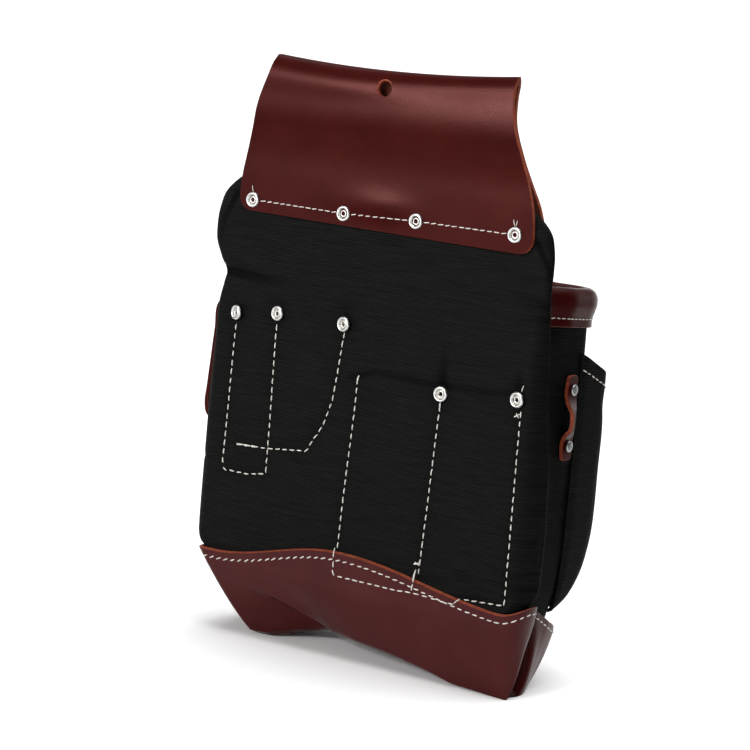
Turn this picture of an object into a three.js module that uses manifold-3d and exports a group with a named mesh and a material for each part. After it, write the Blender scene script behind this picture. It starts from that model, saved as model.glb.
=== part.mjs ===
import * as THREE from 'three';
import { mergeVertices } from 'three/addons/utils/BufferGeometryUtils.js';
import Module from 'manifold-3d';

const wasm = await Module();
wasm.setup();

// A belt-hung tool pouch that stands on its leather boot. All sizes are millimetres.
// X runs across the back panel, Y from the panel's outer face (Y = 0) towards the pouches, Z up
// from the surface that it stands on (Z = 0). The whole is then centred over its origin.

const GAP = 0.3;
const LEATHER = 2.6;
const NYLON = 2;
const PLY = 1.6;
const THROUGH = 60;

const PANEL = {
  thickness: 9, bottom: 44, cornerTop: 64, earStart: 222, top: 286,
  roll: 10, rollFrom: 110, rollTo: 122, rollFull: 200, rollNone: 245,
  rim: 3, rimWidth: 6, across: 6, flank: 4, cornerRows: 5, lowRows: 5, earRows: 10,
};
// The panel's reach to each side at each height: cut lower corners, straight flanks, a waist on the left
// above the pouch and round ears on top.
const PANEL_OUTLINE = [
  { z: 44, left: 94, right: 99 },
  { z: 47, left: 101, right: 106.5 },
  { z: 50.5, left: 107.4, right: 113.6 },
  { z: 54, left: 112.8, right: 118 },
  { z: 58, left: 117, right: 121 },
  { z: 64, left: 120.6, right: 123 },
  { z: 74, left: 122.8, right: 123.6 },
  { z: 90, left: 123.2, right: 124 },
  { z: 131, left: 121, right: 122.4 },
  { z: 158, left: 118, right: 120.8 },
  { z: 180, left: 116.4, right: 119.4 },
  { z: 205, left: 115, right: 118.6 },
  { z: 217, left: 111.5, right: 118.3 },
  { z: 224, left: 110.4, right: 118.2 },
  { z: 233, left: 115.2, right: 118.3 },
  { z: 243, left: 119.4, right: 118.4 },
  { z: 251, left: 120, right: 118.6 },
  { z: 264, left: 118.4, right: 117.8 },
  { z: 274, left: 114.4, right: 114.4 },
  { z: 282, left: 106, right: 106 },
  { z: 286, left: 100, right: 100 },
];

const TUNNEL = {
  cornerRadius: 9, across: 4, along: 24, cornerRows: 3, fall: 4.2, fallFrom: 290, fallTo: 264,
};
// Middle and half width of the belt tunnel at each height.
const TUNNEL_OUTLINE = [
  { z: 264, mid: 3.6, half: 103.6 },
  { z: 272, mid: 3.6, half: 103.6 },
  { z: 285, mid: 3.1, half: 102.4 },
  { z: 295, mid: 2.4, half: 100.2 },
  { z: 315, mid: 1, half: 94.5 },
  { z: 336, mid: 0, half: 88.4 },
  { z: 348, mid: 1.2, half: 85 },
  { z: 361, mid: 2.2, half: 84 },
];
// The strip's middle surface, from the near leaf's hem over the fold and down to the far leaf's hem,
// and how much is trimmed off each end there.
const TUNNEL_FOLD = [
  { y: -1.6, z: 264, trim: 0 },
  { y: -1.6, z: 275, trim: 0 },
  { y: -1.6, z: 286, trim: 0 },
  { y: -1.2, z: 300, trim: 0 },
  { y: -2.2, z: 316, trim: 0 },
  { y: -4.5, z: 333, trim: 0 },
  { y: -4.3, z: 346, trim: 0 },
  { y: -2.6, z: 354.3, trim: 0 },
  { y: 0.8, z: 358, trim: 0 },
  { y: 4.6, z: 354.5, trim: 1 },
  { y: 6.4, z: 346, trim: 3 },
  { y: 6.2, z: 333, trim: 5 },
  { y: 6.8, z: 316, trim: 5 },
  { y: 8.6, z: 300, trim: 4 },
  { y: 10.6, z: 286, trim: 2 },
  { y: 10.6, z: 275, trim: 0 },
  { y: 10.6, z: 264, trim: 0 },
];
const HANG_HOLE = { x: 2, z: 346, radius: 4 };

const RIVET = {
  ring: 4.75, shank: 2.2, bore: 1.5, boreDepth: 4, roll: 1.7,
  head: 1.2, headRadius: 4, headRim: 3.7, sides: 10,
};
// Section of the rolled ring from its bore outwards: radius, and height as a share of the roll.
const RING_SECTION = [
  { radius: 1.5, rise: 0.4 },
  { radius: 2, rise: 0.85 },
  { radius: 3.3, rise: 1 },
  { radius: 4.4, rise: 0.75 },
];
const TUNNEL_RIVETS = [
  { x: -89.7, z: 270.6 },
  { x: -22.7, z: 269.6 },
  { x: 28.5, z: 270.8 },
  { x: 95.7, z: 270.6 },
];
const PANEL_RIVETS = [
  { x: -97.5, z: 200 },
  { x: -66.7, z: 203.5 },
  { x: -17.9, z: 203.5 },
  { x: 54.1, z: 172 },
  { x: 105.5, z: 176.5 },
];

// Inner pockets: each ply lies on the panel along its seams and stands off between them.
const SEAM = { flat: 5.5, segments: 5, step: 4 };
const SLOT_POCKET = {
  name: 'slot_pocket', left: -103, right: -13, top: 209, seams: [-97.5, -66.7, -17.9], stand: 8,
  bottomLeft: 97, bottomRight: 114, stepAt: -64.5, rows: 5,
};
const SLEEVE_POCKET = {
  name: 'sleeve_pocket', left: -12.5, right: 107.8, top: 182, seams: [-7.5, 53.5, 105.5], stand: 9,
  bottomLeft: 49, bottomRight: 49, stepAt: 0, rows: 5,
};

// Outer size of the main pouch at each height.
const POUCH_SECTIONS = [
  { z: 20, half: 108, front: 60, corner: 24 },
  { z: 60, half: 113.8, front: 67, corner: 20 },
  { z: 120, half: 115.5, front: 71, corner: 18 },
  { z: 180, half: 115.5, front: 71, corner: 18 },
  { z: 240, half: 115.5, front: 70, corner: 18 },
];
const POUCH = {
  seat: 0.9, bow: 2, seam: 224.5, drop: 3, upstand: 6, tuck: 2, rows: 7, front: 71, corner: 18,
};
// Segments along the left side, left corner, front, right corner and right side.
const PLAN_SEGMENTS = [5, 4, 8, 4, 5];

// Cross-section of the rolled lip: distance out from the pouch's wall and height above its seam.
const LIP_PROFILE = [
  { out: 1.6, up: -5 },
  { out: 1.6, up: 0 },
  { out: 2.8, up: 4.5 },
  { out: 3.8, up: 9 },
  { out: 3.2, up: 13.5 },
  { out: 0.6, up: 16.2 },
  { out: -3.2, up: 16.2 },
  { out: -6, up: 13.5 },
  { out: -6.8, up: 9 },
  { out: -5.4, up: 4.5 },
  { out: -3.6, up: 0 },
  { out: -3.6, up: -5 },
];
const LIP_BACK = 10.8;

const POCKET = { back: 52.5, bottom: 46, rim: 202, slope: 0.42, cornerGrowth: 0.12 };
// How far the outer pocket stands in front of the main pouch, from its sewn bottom edge up.
const POCKET_PROFILE = [
  { up: 0, out: 1.5 },
  { up: 0.012, out: 6 },
  { up: 0.03, out: 11 },
  { up: 0.07, out: 17 },
  { up: 0.14, out: 24 },
  { up: 0.24, out: 28.6 },
  { up: 0.45, out: 30 },
  { up: 0.75, out: 29.4 },
  { up: 1, out: 28 },
];

const BOOT = {
  low: 50.5, peak: 15.5, peakX: -6.5, leftReach: 95, rightReach: 125,
  upturn: 6, upturnFrom: 107, upturnTo: 123,
  frontEdge: 36, frontFrom: 19, frontTo: 61, clear: 2, across: 12, flank: 3, flankTo: 0.8, rows: 6, seat: 0.6,
  planAt: 52, leftFlat: 105, leftFlank: 112, leftRim: 115.9, rightRim: 120, rimY: 15,
  creaseX: 117.2, creaseY: 23, seamY: 28,
};
// The sole rests on the rims of its two ends: its edge arches up between them and its middle is hollow.
// A dent draws its near edge in.
const SOLE = {
  far: 64, middle: 36,
  arch: 11, archBow: 0.5, archX: -8.5, archLeft: -64.5, archRight: 75.5, heelLift: 3,
  dentX: -32.5, dentWidth: 20, dentIn: 11, rise: 8, ends: 30, foot: 0.18, hollow: 0.6,
};
// The sole's outline at each end: its near edge's end, the rim, the crease, the fold behind and the corner.
const SOLE_LEFT = {
  x: -73.8, near: 8, rim: { x: -72.8, y: 16 }, crease: { x: -66.8, y: 21 },
  fold: { x: -66.8, y: 25 }, corner: { x: -69.8, y: 48 },
};
const SOLE_RIGHT = {
  x: 113.6, near: 2.5, rim: { x: 115, y: 5.5 }, crease: { x: 108.5, y: 11.5 },
  fold: { x: 117, y: 16.5 }, corner: { x: 110.5, y: 38 },
};
// How far the wall has gone across and down, between the band and the sole, at its two inner controls.
const BOOT_SLOPE = [
  { across: 0.25, down: 0.3 },
  { across: 0.7, down: 0.8 },
];

const LOOPS = [
  {
    side: 'right', sign: 1, near: 37.5, far: 50.5,
    rivets: [{ end: 'top', z: 181 }, { end: 'bottom', z: 147.5 }],
    profile: [
      { z: 189.5, out: 0 },
      { z: 176, out: 0 },
      { z: 172.5, out: 1.5 },
      { z: 168, out: 4.5 },
      { z: 163, out: 5.1 },
      { z: 158, out: 4.5 },
      { z: 154.5, out: 1.5 },
      { z: 152, out: 0 },
      { z: 139, out: 0 },
    ],
  },
  {
    side: 'left', sign: -1, near: 20, far: 42,
    rivets: [{ end: 'top', z: 210.5 }, { end: 'bottom', z: 116 }],
    profile: [
      { z: 216.5, out: 0 },
      { z: 206, out: 0 },
      { z: 202.5, out: 2.4 },
      { z: 198, out: 6.4 },
      { z: 185, out: 9.6 },
      { z: 165, out: 12.3 },
      { z: 148, out: 14.2 },
      { z: 138, out: 14.6 },
      { z: 131.5, out: 12 },
      { z: 127.5, out: 6 },
      { z: 124.5, out: 1.4 },
      { z: 121, out: 0 },
      { z: 109, out: 0 },
    ],
  },
];
const LOOP = {
  seat: 0.5, endRadius: 4, endRows: 3, rows: 18, cut: 20,
  rivetHead: 3.6, rivetCrown: 2.2, rivetShank: 1.8, rivetCap: 1.3, rivetRim: 0.65,
};

const { clamp, lerp, smoothstep } = THREE.MathUtils;

/** Smooth curve through one column of a table, as a function of another column. */
function spline(rows, at, value) {
  const curve = new THREE.CubicInterpolant(rows.map((row) => row[at]), rows.map((row) => row[value]), 1);
  return (t) => curve.evaluate(t)[0];
}

const panelLeft = spline(PANEL_OUTLINE, 'z', 'left');
const panelRight = spline(PANEL_OUTLINE, 'z', 'right');
const tunnelHalf = spline(TUNNEL_OUTLINE, 'z', 'half');
const tunnelMid = spline(TUNNEL_OUTLINE, 'z', 'mid');
const pouchHalf = spline(POUCH_SECTIONS, 'z', 'half');
const pouchFront = spline(POUCH_SECTIONS, 'z', 'front');
const pouchCorner = spline(POUCH_SECTIONS, 'z', 'corner');
const pocketOut = spline(POCKET_PROFILE, 'up', 'out');

/** Numbers from a to b in equal steps, both ends included. */
function steps(a, b, count) {
  return Array.from({ length: count + 1 }, (_, i) => lerp(a, b, i / count));
}

/** Merge shared corners, drop slivers and turn every face outwards. */
function closed(geometry) {
  geometry.deleteAttribute('normal');
  geometry.deleteAttribute('uv');
  const welded = mergeVertices(geometry, 1e-3);
  const index = welded.index.array;
  const kept = [];
  for (let i = 0; i < index.length; i += 3) {
    const [a, b, c] = [index[i], index[i + 1], index[i + 2]];
    if (a !== b && b !== c && c !== a) kept.push(a, b, c);
  }
  const corner = (i) => new THREE.Vector3().fromBufferAttribute(welded.attributes.position, i);
  let volume = 0;
  for (let i = 0; i < kept.length; i += 3) {
    volume += corner(kept[i]).dot(corner(kept[i + 1]).cross(corner(kept[i + 2])));
  }
  if (volume < 0) kept.reverse();
  welded.setIndex(kept);
  return welded;
}

/** A geometry from a list of points and a list of triangles. */
function geometryOf(points, triangles) {
  const geometry = new THREE.BufferGeometry();
  geometry.setAttribute('position', new THREE.Float32BufferAttribute(points.flatMap((p) => p.toArray()), 3));
  geometry.setIndex(triangles);
  return geometry;
}

/**
 * A wall between two grids of points of the same shape, closed round its rim. Where `around` is set
 * the grids close on themselves from side to side; where `sole` is set the last rows are filled in.
 */
function wall(outer, inner, { around = false, sole = false } = {}) {
  const rows = outer.length;
  const columns = outer[0].length;
  const points = [...outer.flat(), ...inner.flat()];
  const out = (i, j) => i * columns + (j % columns);
  const into = (i, j) => rows * columns + out(i, j);
  const triangles = [];
  const quad = (a, b, c, d) => triangles.push(a, b, c, a, c, d);
  const spans = around ? columns : columns - 1;
  for (let j = 0; j < spans; j += 1) {
    for (let i = 0; i < rows - 1; i += 1) {
      quad(out(i, j), out(i, j + 1), out(i + 1, j + 1), out(i + 1, j));
      quad(into(i, j), into(i + 1, j), into(i + 1, j + 1), into(i, j + 1));
    }
    quad(out(0, j), into(0, j), into(0, j + 1), out(0, j + 1));
    if (!sole) {
      quad(out(rows - 1, j), out(rows - 1, j + 1), into(rows - 1, j + 1), into(rows - 1, j));
    }
  }
  if (!around) {
    const last = columns - 1;
    for (let i = 0; i < rows - 1; i += 1) {
      quad(out(i, 0), out(i + 1, 0), into(i + 1, 0), into(i, 0));
      quad(out(i, last), into(i, last), into(i + 1, last), out(i + 1, last));
    }
  }
  if (sole) {
    const flat = outer[rows - 1].map((p) => new THREE.Vector2(p.x, p.y));
    for (const [a, b, c] of THREE.ShapeUtils.triangulateShape(flat, [])) {
      triangles.push(out(rows - 1, a), out(rows - 1, b), out(rows - 1, c));
      triangles.push(into(rows - 1, a), into(rows - 1, c), into(rows - 1, b));
    }
  }
  return closed(geometryOf(points, triangles));
}

/** Unit normal at each point of a grid, from its neighbours along both directions. */
function gridNormals(grid, around = false) {
  const rows = grid.length;
  const columns = grid[0].length;
  return grid.map((row, i) => row.map((_, j) => {
    const down = grid[Math.min(i + 1, rows - 1)][j].clone().sub(grid[Math.max(i - 1, 0)][j]);
    const right = around ? row[(j + 1) % columns] : row[Math.min(j + 1, columns - 1)];
    const left = around ? row[(j + columns - 1) % columns] : row[Math.max(j - 1, 0)];
    return right.clone().sub(left).cross(down).normalize();
  }));
}

/** The same grid moved along its normals. */
function offset(grid, normals, distance) {
  return grid.map((row, i) => row.map((p, j) => p.clone().addScaledVector(normals[i][j], distance)));
}

/** A sheet of even thickness about a middle surface. */
function sheet(grid, thickness) {
  const normals = gridNormals(grid);
  return wall(offset(grid, normals, thickness / 2), offset(grid, normals, -thickness / 2));
}

function toSolid(geometry) {
  const mesh = new wasm.Mesh({
    numProp: 3,
    vertProperties: new Float32Array(geometry.attributes.position.array),
    triVerts: new Uint32Array(geometry.index.array),
  });
  return new wasm.Manifold(mesh);
}

function toGeometry(solid) {
  const mesh = solid.getMesh();
  const geometry = new THREE.BufferGeometry();
  geometry.setAttribute('position', new THREE.BufferAttribute(mesh.vertProperties, 3));
  geometry.setIndex(new THREE.BufferAttribute(mesh.triVerts, 1));
  return geometry;
}

/** A piece with round holes through it, each along Y unless it says otherwise. */
function drilled(geometry, holes) {
  let solid = toSolid(geometry);
  for (const { x, y = 0, z, radius, length, alongX = false } of holes) {
    const bit = new THREE.CylinderGeometry(radius, radius, length, RIVET.sides);
    if (alongX) bit.rotateZ(Math.PI / 2);
    bit.translate(x, y, z);
    solid = solid.subtract(toSolid(closed(bit)));
  }
  return toGeometry(solid);
}

/** Clearance hole for a tubular rivet. */
function rivetHole({ x, z }) {
  return { x, z, radius: RIVET.shank + GAP, length: THROUGH };
}

/** How far the panel's flanks bend back towards the pouch. */
function panelRoll(x, z) {
  const edge = clamp((Math.abs(x) - PANEL.rollFrom) / (PANEL.rollTo - PANEL.rollFrom), 0, 1);
  return PANEL.roll * edge * edge * (1 - smoothstep(z, PANEL.rollFull, PANEL.rollNone));
}

function panelFar(x, z) {
  return panelRoll(x, z) + PANEL.thickness;
}

/** The panel's reach on the side of a sign. */
function panelReach(sign, z) {
  return sign > 0 ? panelRight(z) : panelLeft(z);
}

/** Places across the panel at a height: even over its flat middle, closer towards its rims. */
function panelColumns(z) {
  const flat = (sign) => Math.min(PANEL.rollFrom, panelReach(sign, z) - 2 * PANEL.rimWidth);
  const flank = (sign) => steps(0, Math.PI / 2, PANEL.flank).slice(1)
    .map((a) => sign * lerp(flat(sign), panelReach(sign, z), Math.sin(a)));
  return [...flank(-1).reverse(), ...steps(-flat(-1), flat(1), PANEL.across), ...flank(1)];
}

/** Padded panel: two faces that draw together at a rounded rim. */
function backPanel() {
  const heights = [
    ...steps(PANEL.bottom, PANEL.cornerTop, PANEL.cornerRows),
    ...steps(PANEL.cornerTop, PANEL.earStart, PANEL.lowRows).slice(1),
    ...steps(PANEL.earStart, PANEL.top, PANEL.earRows).slice(1),
  ];
  const face = (far) => heights.map((z) => panelColumns(z).map((x) => {
    const edge = clamp(1 + (Math.abs(x) - panelReach(x, z)) / PANEL.rimWidth, 0, 1);
    const drop = PANEL.rim * (1 - Math.sqrt(1 - edge * edge));
    const y = panelRoll(x, z) + (far ? PANEL.thickness - drop : drop);
    return new THREE.Vector3(x, y, z);
  }));
  return drilled(wall(face(false), face(true)), [...TUNNEL_RIVETS, ...PANEL_RIVETS].map(rivetHole));
}

/** Belt tunnel: one strip folded over at the top, with wide, round-cornered hems that fall to the right. */
function beltTunnel() {
  const fold = new THREE.CatmullRomCurve3(TUNNEL_FOLD.map(({ y, z, trim }) => new THREE.Vector3(trim, y, z)));
  const length = fold.getLength();
  const radius = TUNNEL.cornerRadius;
  const corner = steps(0, Math.PI / 2, TUNNEL.cornerRows).map((a) => radius * (1 - Math.cos(a)));
  const middle = steps(radius, length - radius, TUNNEL.along).slice(1, -1);
  const distances = [...corner, ...middle, ...corner.map((d) => length - d).reverse()];
  const grid = distances.map((distance) => {
    const { x: trim, y, z } = fold.getPointAt(distance / length);
    const inCorner = Math.max(0, radius - Math.min(distance, length - distance));
    const cut = radius - Math.sqrt(radius ** 2 - inCorner ** 2);
    const half = tunnelHalf(z) - cut - trim;
    const fall = TUNNEL.fall * smoothstep(-z, -TUNNEL.fallFrom, -TUNNEL.fallTo);
    return steps(-half, half, TUNNEL.across).map((x) => (
      new THREE.Vector3(tunnelMid(z) + x, y, z - fall * (x + half) / (2 * half))));
  });
  const holes = TUNNEL_RIVETS.map(rivetHole);
  holes.push({ ...HANG_HOLE, length: THROUGH });
  return drilled(sheet(grid, LEATHER), holes);
}

/** Tubular rivet along Y: a rolled ring on the near side, a hollow shank and a flat head behind. */
function clinchRivet(near, far) {
  const profile = [
    [0, near + RIVET.boreDepth],
    [RIVET.bore, near + RIVET.boreDepth],
    ...RING_SECTION.map(({ radius, rise }) => [radius, near - rise * RIVET.roll]),
    [RIVET.ring, near - GAP],
    [RIVET.shank, near - GAP],
    [RIVET.shank, far + GAP],
    [RIVET.headRadius, far + GAP],
    [RIVET.headRim, far + GAP + RIVET.head],
    [0, far + GAP + RIVET.head],
  ];
  return closed(new THREE.LatheGeometry(profile.map(([r, y]) => new THREE.Vector2(r, y)), RIVET.sides));
}

/** Inner pocket ply: flat on the panel at each seam and at the bottom, standing off between seams. */
function innerPocket({ left, right, top, seams, stand, bottomLeft, bottomRight, stepAt, rows }) {
  const channel = (i) => steps(0, 1, SEAM.segments).map((t) => (
    { x: lerp(seams[i] + SEAM.flat, seams[i + 1] - SEAM.flat, t), rise: Math.sin(Math.PI * t) }));
  const columns = [{ x: left, rise: 0 }, ...channel(0), ...channel(1), { x: right, rise: 0 }];
  const grid = steps(0, 1, rows).map((v) => columns.map(({ x, rise }) => {
    const bottom = lerp(bottomLeft, bottomRight, smoothstep(x, stepAt - SEAM.step, stepAt + SEAM.step));
    const z = lerp(bottom, top, v);
    const y = panelFar(x, z) + GAP + PLY / 2 + stand * rise * (1 - (1 - v) ** 3);
    return new THREE.Vector3(x, y, z);
  }));
  const within = PANEL_RIVETS.filter(({ x, z }) => x > left && x < right && z < top);
  return drilled(sheet(grid, PLY), within.map(rivetHole));
}

/** Plan of a pouch as points from its left back end round the front to its right back end. */
function planPoints(half, back, front, corner, bow) {
  const at = (x, y) => new THREE.Vector2(x, y);
  const curves = [
    new THREE.LineCurve(at(-half, back), at(-half, front - corner)),
    new THREE.EllipseCurve(corner - half, front - corner, corner, corner, Math.PI, Math.PI / 2, true),
    new THREE.QuadraticBezierCurve(
      at(corner - half, front), at(0, front + 2 * bow), at(half - corner, front)),
    new THREE.EllipseCurve(half - corner, front - corner, corner, corner, Math.PI / 2, 0, true),
    new THREE.LineCurve(at(half, front - corner), at(half, back)),
  ];
  return curves.flatMap((curve, i) => curve.getPoints(PLAN_SEGMENTS[i]).slice(i ? 1 : 0));
}

/** Plan of the main pouch at a height, moved outwards by `outset`. */
function pouchPlan(z, outset = 0, back = panelFar(pouchHalf(z), z) + POUCH.seat) {
  return planPoints(
    pouchHalf(z) + outset, back, pouchFront(z) + outset, pouchCorner(z) + outset, POUCH.bow);
}

const STATIONS = pouchPlan(POUCH_SECTIONS[2].z);

/** Height of the lip's seam at each station: a little lower at the front. */
const seamHeights = STATIONS.map(({ y }) => POUCH.seam - POUCH.drop * smoothstep(y, LIP_BACK, POUCH.front));

/** Height of the boot's wavy top edge at a place on its outline. */
function bootEdge(x, y) {
  const reach = x < BOOT.peakX ? BOOT.leftReach : BOOT.rightReach;
  const along = clamp((x - BOOT.peakX) / reach, -1, 1);
  const turn = clamp((x - BOOT.upturnFrom) / (BOOT.upturnTo - BOOT.upturnFrom), 0, 1);
  const near = BOOT.low + BOOT.peak * Math.cos((along * Math.PI) / 2) ** 2 + BOOT.upturn * turn * turn;
  return lerp(near, BOOT.frontEdge, smoothstep(y, BOOT.frontFrom, BOOT.frontTo));
}

/** Clearance holes for the rivets of a loop strap. */
function loopHoles({ sign, near, far, rivets }) {
  const size = { radius: LOOP.rivetShank + GAP, length: LOOP.cut, alongX: true };
  return rivets.map(({ z }) => ({ x: sign * pouchHalf(z), y: (near + far) / 2, z, ...size }));
}

/** Main pouch: gussets and front in one wall, tucked into the boot and capped by the lip. */
function mainPouch() {
  const tucked = pouchPlan(BOOT.planAt).map(({ x, y }) => bootEdge(x, y) - POUCH.tuck);
  const face = (outset) => steps(0, 1, POUCH.rows).map((v) => STATIONS.map((_, s) => {
    const z = lerp(tucked[s], seamHeights[s] + POUCH.upstand, v);
    const back = panelFar(pouchHalf(z), z) + POUCH.seat;
    const { x, y } = pouchPlan(z, outset, back)[s];
    return new THREE.Vector3(x, y, z);
  }));
  return drilled(wall(face(0), face(-NYLON)), LOOPS.flatMap(loopHoles));
}

/** Rolled lip: the folded strip's cross-section carried round the pouch's mouth. */
function pouchLip() {
  const grid = LIP_PROFILE.map(({ out, up }) => STATIONS.map((_, s) => {
    const z = seamHeights[s];
    const { x, y } = pouchPlan(z, out, LIP_BACK)[s];
    return new THREE.Vector3(x, y, z + up);
  }));
  return sheet(grid, LEATHER);
}

/** Outer pocket: sewn to the main pouch along its two sides and its bottom, open at its sloping rim. */
function outerPocket() {
  const seat = GAP + NYLON / 2;
  const grid = POCKET_PROFILE.map(({ up }) => {
    const out = pocketOut(up);
    const corner = POUCH.corner + POCKET.cornerGrowth * out;
    const plan = (half, front) => planPoints(half + seat, POCKET.back, front + out, corner, POUCH.bow);
    const rims = plan(pouchHalf(POCKET.rim), POUCH.front);
    return rims.map((rim, s) => {
      const z = lerp(POCKET.bottom, POCKET.rim - POCKET.slope * (rim.y - POCKET.back), up);
      const { x, y } = plan(pouchHalf(z), pouchFront(z))[s];
      return new THREE.Vector3(x, y, z);
    });
  });
  return sheet(grid, NYLON);
}

/** The sole's end on the side of `sign`. */
function soleEnd(sign) {
  return sign < 0 ? SOLE_LEFT : SOLE_RIGHT;
}

/** Where the boot's wall meets the sole for each station of the pouch's plan, seen from above. */
function solePoint(station) {
  const end = soleEnd(station.x);
  const { half, front, corner } = POUCH_SECTIONS[1];
  const along = clamp((station.y - BOOT.seamY) / (front - corner - BOOT.seamY), 0, 1);
  const turned = clamp((station.y - front + corner) / corner, 0, 1);
  const side = new THREE.Vector2(
    lerp(end.fold.x, end.corner.x, along), lerp(end.fold.y, end.corner.y, along));
  const outwards = 1 - clamp((half - Math.abs(station.x)) / half, 0, 1);
  const face = new THREE.Vector2(end.corner.x * outwards, lerp(SOLE.far, end.corner.y, outwards ** 2));
  return side.lerp(face, Math.sqrt(turned));
}

/** A place outside one flank of the panel, `t` of the way from its flat middle to its rim. */
function flankStation(sign, t) {
  const reach = sign > 0 ? lerp(PANEL.rollFrom, BOOT.rightRim, t) : lerp(BOOT.leftFlat, BOOT.leftFlank, t);
  const outwards = new THREE.Vector2(panelRoll(reach, 0) - panelRoll(reach - 1, 0), -1);
  outwards.setLength(BOOT.seat + LEATHER);
  const end = soleEnd(sign);
  return {
    onPanel: true, heel: 0,
    plan: new THREE.Vector2(sign * (reach + outwards.x), panelRoll(reach, 0) + outwards.y),
    sole: new THREE.Vector2(end.x + sign * t, end.near + t * t),
  };
}

/** Near stations of the boot, straight across the panel with the dented edge of the sole below. */
function nearStations() {
  return steps(0, 1, BOOT.across).map((t) => {
    const x = lerp(SOLE_LEFT.x, SOLE_RIGHT.x, t);
    const near = lerp(SOLE_LEFT.near, SOLE_RIGHT.near, t);
    const dent = Math.exp(-(((x - SOLE.dentX) / SOLE.dentWidth) ** 2));
    return {
      onPanel: true, heel: SOLE.heelLift * Math.sin(Math.PI * t),
      plan: new THREE.Vector2(lerp(-BOOT.leftFlat, PANEL.rollFrom, t), -BOOT.seat - LEATHER),
      sole: new THREE.Vector2(x, near + SOLE.dentIn * dent),
    };
  });
}

/** Stations round one end of the boot: over the panel's flank, its rim and the crease folded in behind. */
function endStations(sign) {
  const end = soleEnd(sign);
  const rim = (sign > 0 ? BOOT.rightRim : BOOT.leftRim) + BOOT.seat + LEATHER;
  return [
    ...steps(0, BOOT.flankTo, BOOT.flank).slice(1).map((t) => flankStation(sign, t)),
    {
      onPanel: true, heel: 0,
      plan: new THREE.Vector2(sign * rim, BOOT.rimY),
      sole: new THREE.Vector2(end.rim.x, end.rim.y),
    },
    {
      onPanel: false, heel: 0,
      plan: new THREE.Vector2(sign * BOOT.creaseX, BOOT.creaseY),
      sole: new THREE.Vector2(end.crease.x, end.crease.y),
    },
  ];
}

/** Boot outline from the near left corner round the right end and the front, with its sole below. */
function bootStations() {
  const round = pouchPlan(BOOT.planAt, BOOT.seat + LEATHER).filter(({ y }) => y > BOOT.seamY).reverse();
  const behind = round.map((plan) => ({ onPanel: false, heel: 0, plan, sole: solePoint(plan) }));
  return [...nearStations(), ...endStations(1), ...behind, ...endStations(-1).reverse()];
}

/** Height of the sole's arch at a place along it. */
function soleArch(x) {
  const reach = x < SOLE.archX ? SOLE.archLeft : SOLE.archRight;
  const along = clamp((x - SOLE.archX) / (reach - SOLE.archX), 0, 1);
  return SOLE.arch * (1 - along) * (1 + SOLE.archBow * along);
}

/** A closed outline, counterclockwise from above, moved inwards. */
function inset(outline, distance) {
  return outline.map((p, j) => {
    const along = outline[(j + 1) % outline.length].clone().sub(outline.at(j - 1)).normalize();
    return new THREE.Vector2(p.x - along.y * distance, p.y + along.x * distance);
  });
}

/** One column of the boot's wall, from its top edge down to the sole and in under it. */
function bootColumn({ x, y }, sole, { onPanel, heel }, lift) {
  const top = new THREE.Vector3(x, y, bootEdge(x, y));
  const bandZ = onPanel ? PANEL.bottom - BOOT.clear : top.z - POUCH.tuck - BOOT.clear;
  const bandX = onPanel ? lerp(x, sole.x, 1 - bandZ / top.z) : x;
  const band = new THREE.Vector3(bandX, y, bandZ);
  const floor = soleArch(sole.x) + lift;
  const foot = new THREE.Vector3(sole.x, sole.y, floor + heel);
  const [high, low] = BOOT_SLOPE.map(({ across, down }) => (
    band.clone().lerp(foot, across).setZ(lerp(band.z, foot.z, down))));
  const slope = new THREE.CubicBezierCurve3(band, high, low, foot).getPoints(BOOT.rows);
  const middle = new THREE.Vector3(
    clamp(sole.x, SOLE_LEFT.x + SOLE.ends, SOLE_RIGHT.x - SOLE.ends), SOLE.middle, 0);
  const tread = foot.clone().lerp(middle, SOLE.foot).setZ(floor);
  const hollow = foot.clone().lerp(middle, SOLE.hollow).setZ(SOLE.rise + lift);
  return [top, ...slope, tread, hollow];
}

/** Leather boot: a band over the pouch, drawn in below it to an arched sole with folded ends. */
function boot() {
  const stations = bootStations();
  const face = (thickness) => {
    const plans = inset(stations.map(({ plan }) => plan), thickness);
    const soles = inset(stations.map(({ sole }) => sole), thickness);
    const columns = stations.map((station, j) => bootColumn(plans[j], soles[j], station, thickness));
    return columns[0].map((_, i) => columns.map((column) => column[i]));
  };
  return wall(face(0), face(LEATHER), { around: true, sole: true });
}

/** Loop strap on a gusset: flat at its riveted ends, standing off between them. */
function sideLoop(loop) {
  const { sign, near, far, profile } = loop;
  const curve = new THREE.CatmullRomCurve3(profile.map(({ z, out }) => {
    return new THREE.Vector3(sign * (pouchHalf(z) + LOOP.seat + LEATHER / 2 + out), 0, z);
  }));
  const length = curve.getLength();
  const corner = steps(0, Math.PI / 2, LOOP.endRows).map((a) => LOOP.endRadius * (1 - Math.cos(a)));
  const middle = steps(LOOP.endRadius, length - LOOP.endRadius, LOOP.rows).slice(1, -1);
  const distances = [...corner, ...middle, ...corner.map((d) => length - d).reverse()];
  const grid = distances.map((distance) => {
    const { x, z } = curve.getPointAt(distance / length);
    const inCorner = Math.max(0, LOOP.endRadius - Math.min(distance, length - distance));
    const cut = LOOP.endRadius - Math.sqrt(LOOP.endRadius ** 2 - inCorner ** 2);
    return steps(near + cut, far - cut, 2).map((y) => new THREE.Vector3(x, y, z));
  });
  return drilled(sheet(grid, LEATHER), loopHoles(loop));
}

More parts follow.
